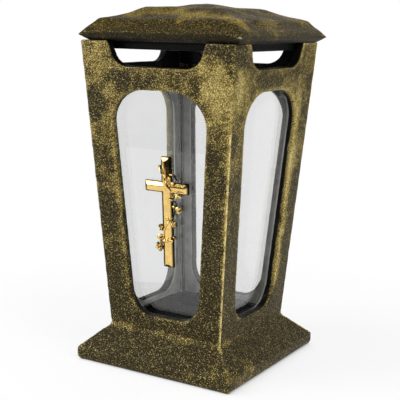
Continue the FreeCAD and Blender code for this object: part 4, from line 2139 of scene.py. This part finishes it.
def circle(centre: Vector, axis: Vector, radius: float, count: int) -> Ring:
    """Ring of points round an axis.

    Args:
        centre: the ring's middle.
        axis: the axis, of any length.
        radius: the ring's radius.
        count: its number of points.

    Returns:
        The ring.
    """
    axis = axis.normalized()
    first = axis.cross(Vector((0, 1, 0)))
    if first.length < 0.1:
        first = axis.cross(Vector((1, 0, 0)))
    first.normalize()
    second = axis.cross(first)
    angles = (2 * math.pi * step / count for step in range(count))
    return [centre + (first * math.cos(angle) + second * math.sin(angle)) * radius for angle in angles]


# Studio


@dataclass(frozen=True)
class Softbox:
    """A soft studio lamp."""

    name: str
    place: Vector
    aim: Vector
    width: float
    height: float
    power: float
    colour: Colour = (1.0, 1.0, 1.0)

    def build(self) -> bpy.types.Object:
        """Hang the lamp.

        Returns:
            The lamp.
        """
        lamp = bpy.data.lights.new(self.name, "AREA")
        lamp.shape = "RECTANGLE"
        lamp.size = self.width
        lamp.size_y = self.height
        lamp.energy = self.power
        lamp.color = self.colour
        made = bpy.data.objects.new(self.name, lamp)
        made.location = self.place
        made.rotation_euler = (self.aim - self.place).to_track_quat("-Z", "Y").to_euler()
        bpy.context.scene.collection.objects.link(made)
        return made


@dataclass
class Studio:
    """White floor, plain surroundings, lamps and the camera."""

    floor_front: float = 0.63
    floor_reach: float = 1.6
    floor_lines: int = 24
    room_light: float = 0.42
    backdrop: Ramp = Ramp(0.1, 0.6, 0.1, 0.8)
    floor_line: Ramp = Ramp(-0.05, 0.1)
    ceiling: Ramp = Ramp(0.35, 0.8, 1.0, 0.15)
    camera_place: Vector = field(default_factory=lambda: Vector((0.419126, -0.690096, 0.287001)))
    camera_yaw: float = -0.545763
    camera_pitch: float = 0.186012
    camera_roll: float = 0.017234
    lens: float = 86.431
    sensor: float = 36.0
    lamps: tuple[Softbox, ...] = (
        Softbox("left_softbox", Vector((-1.1, -0.9, 0.75)), Vector((0, 0, 0.15)), 0.9, 1.1, 22),
        Softbox("right_softbox", Vector((1.35, -0.35, 0.7)), Vector((0, 0, 0.15)), 0.8, 1.1, 16),
        Softbox("top_softbox", Vector((0.0, 0.1, 1.5)), Vector((0, 0, 0.2)), 1.0, 1.0, 3),
    )

    def build(self) -> None:
        """Set up everything round the lantern."""
        self.floor()
        self.world()
        self.camera()
        for lamp in self.lamps:
            lamp.build()
        bpy.context.scene.view_settings.view_transform = "Standard"

    def floor(self) -> None:
        """Lay the floor, whose front edge lies a little way before the lantern."""
        count = self.floor_lines
        mesh = bpy.data.meshes.new("studio_floor")
        xs = np.linspace(-self.floor_reach, self.floor_reach, count)
        ys = np.linspace(-self.floor_front, self.floor_reach, count)
        points = [(x, y, 0) for y in ys for x in xs]
        corners = (0, 1, count + 1, count)
        faces = [
            tuple(row * count + column + corner for corner in corners)
            for row in range(count - 1) for column in range(count - 1)
        ]
        mesh.from_pydata(points, [], faces)
        mesh.materials.append(WhiteFloor("studio floor").material())
        new_object("studio_floor", mesh)

    def world(self) -> None:
        """White to the camera and through glass, and a white backdrop in a dark room to gloss."""
        world = bpy.data.worlds.new("studio")
        bpy.context.scene.world = world
        world.use_nodes = True
        sheet = Tree(world.node_tree)
        axes = sheet.add("SeparateXYZ", {0: sheet.add("TexCoord").outputs["Generated"]}).outputs
        behind = sheet.ramp(axes["Y"], self.backdrop)
        above_floor = sheet.ramp(axes["Z"], self.floor_line)
        below_ceiling = sheet.ramp(axes["Z"], self.ceiling)
        mirrored = sheet.sum("MULTIPLY", behind, sheet.sum("MULTIPLY", above_floor, below_ceiling))
        path = sheet.add("LightPath").outputs
        white = sheet.sum("MAXIMUM", path["Is Camera Ray"], path["Is Transmission Ray"])
        lit = {0: path["Is Glossy Ray"], 2: self.room_light, 3: mirrored}
        level = sheet.add("Mix", lit, data_type="FLOAT").outputs[0]
        level = sheet.add("Mix", {0: white, 2: level, 3: 1.0}, data_type="FLOAT").outputs[0]
        background = sheet.add("Background", {"Color": (1.0, 1.0, 1.0), "Strength": level})
        sheet.add("OutputWorld", {"Surface": background.outputs[0]})

    def camera(self) -> None:
        """Set the camera where the photograph was taken from."""
        yaw, pitch, roll = self.camera_yaw, self.camera_pitch, self.camera_roll
        ahead = Vector((
            math.sin(yaw) * math.cos(pitch), math.cos(yaw) * math.cos(pitch), -math.sin(pitch)))
        right = Vector((math.cos(yaw), -math.sin(yaw), 0))
        up = right.cross(ahead)
        turned_right = right * math.cos(roll) + up * math.sin(roll)
        turned_up = up * math.cos(roll) - right * math.sin(roll)
        axes = Matrix((turned_right, turned_up, -ahead)).transposed().to_4x4()
        camera = bpy.data.cameras.new("photo_camera")
        camera.lens = self.lens
        camera.sensor_width = self.sensor
        made = bpy.data.objects.new("photo_camera", camera)
        made.matrix_world = Matrix.Translation(self.camera_place) @ axes
        bpy.context.scene.collection.objects.link(made)
        bpy.context.scene.camera = made


def main() -> None:
    """Build every sub-assembly in order, report each piece and note the sizes."""
    logging.basicConfig(level=logging.INFO, format="%(name)s: %(message)s")
    cross = CrossOrnament()
    pieces = [BodyCasting().build(), LidCasting().build()]
    pieces += Glazing().build()
    pieces += Fixings().build()
    pieces += cross.build()
    pieces.append(RoseVine(cross).build())
    for piece in pieces:
        report(piece)
    Studio().build()


if __name__ == "__main__":
    main()
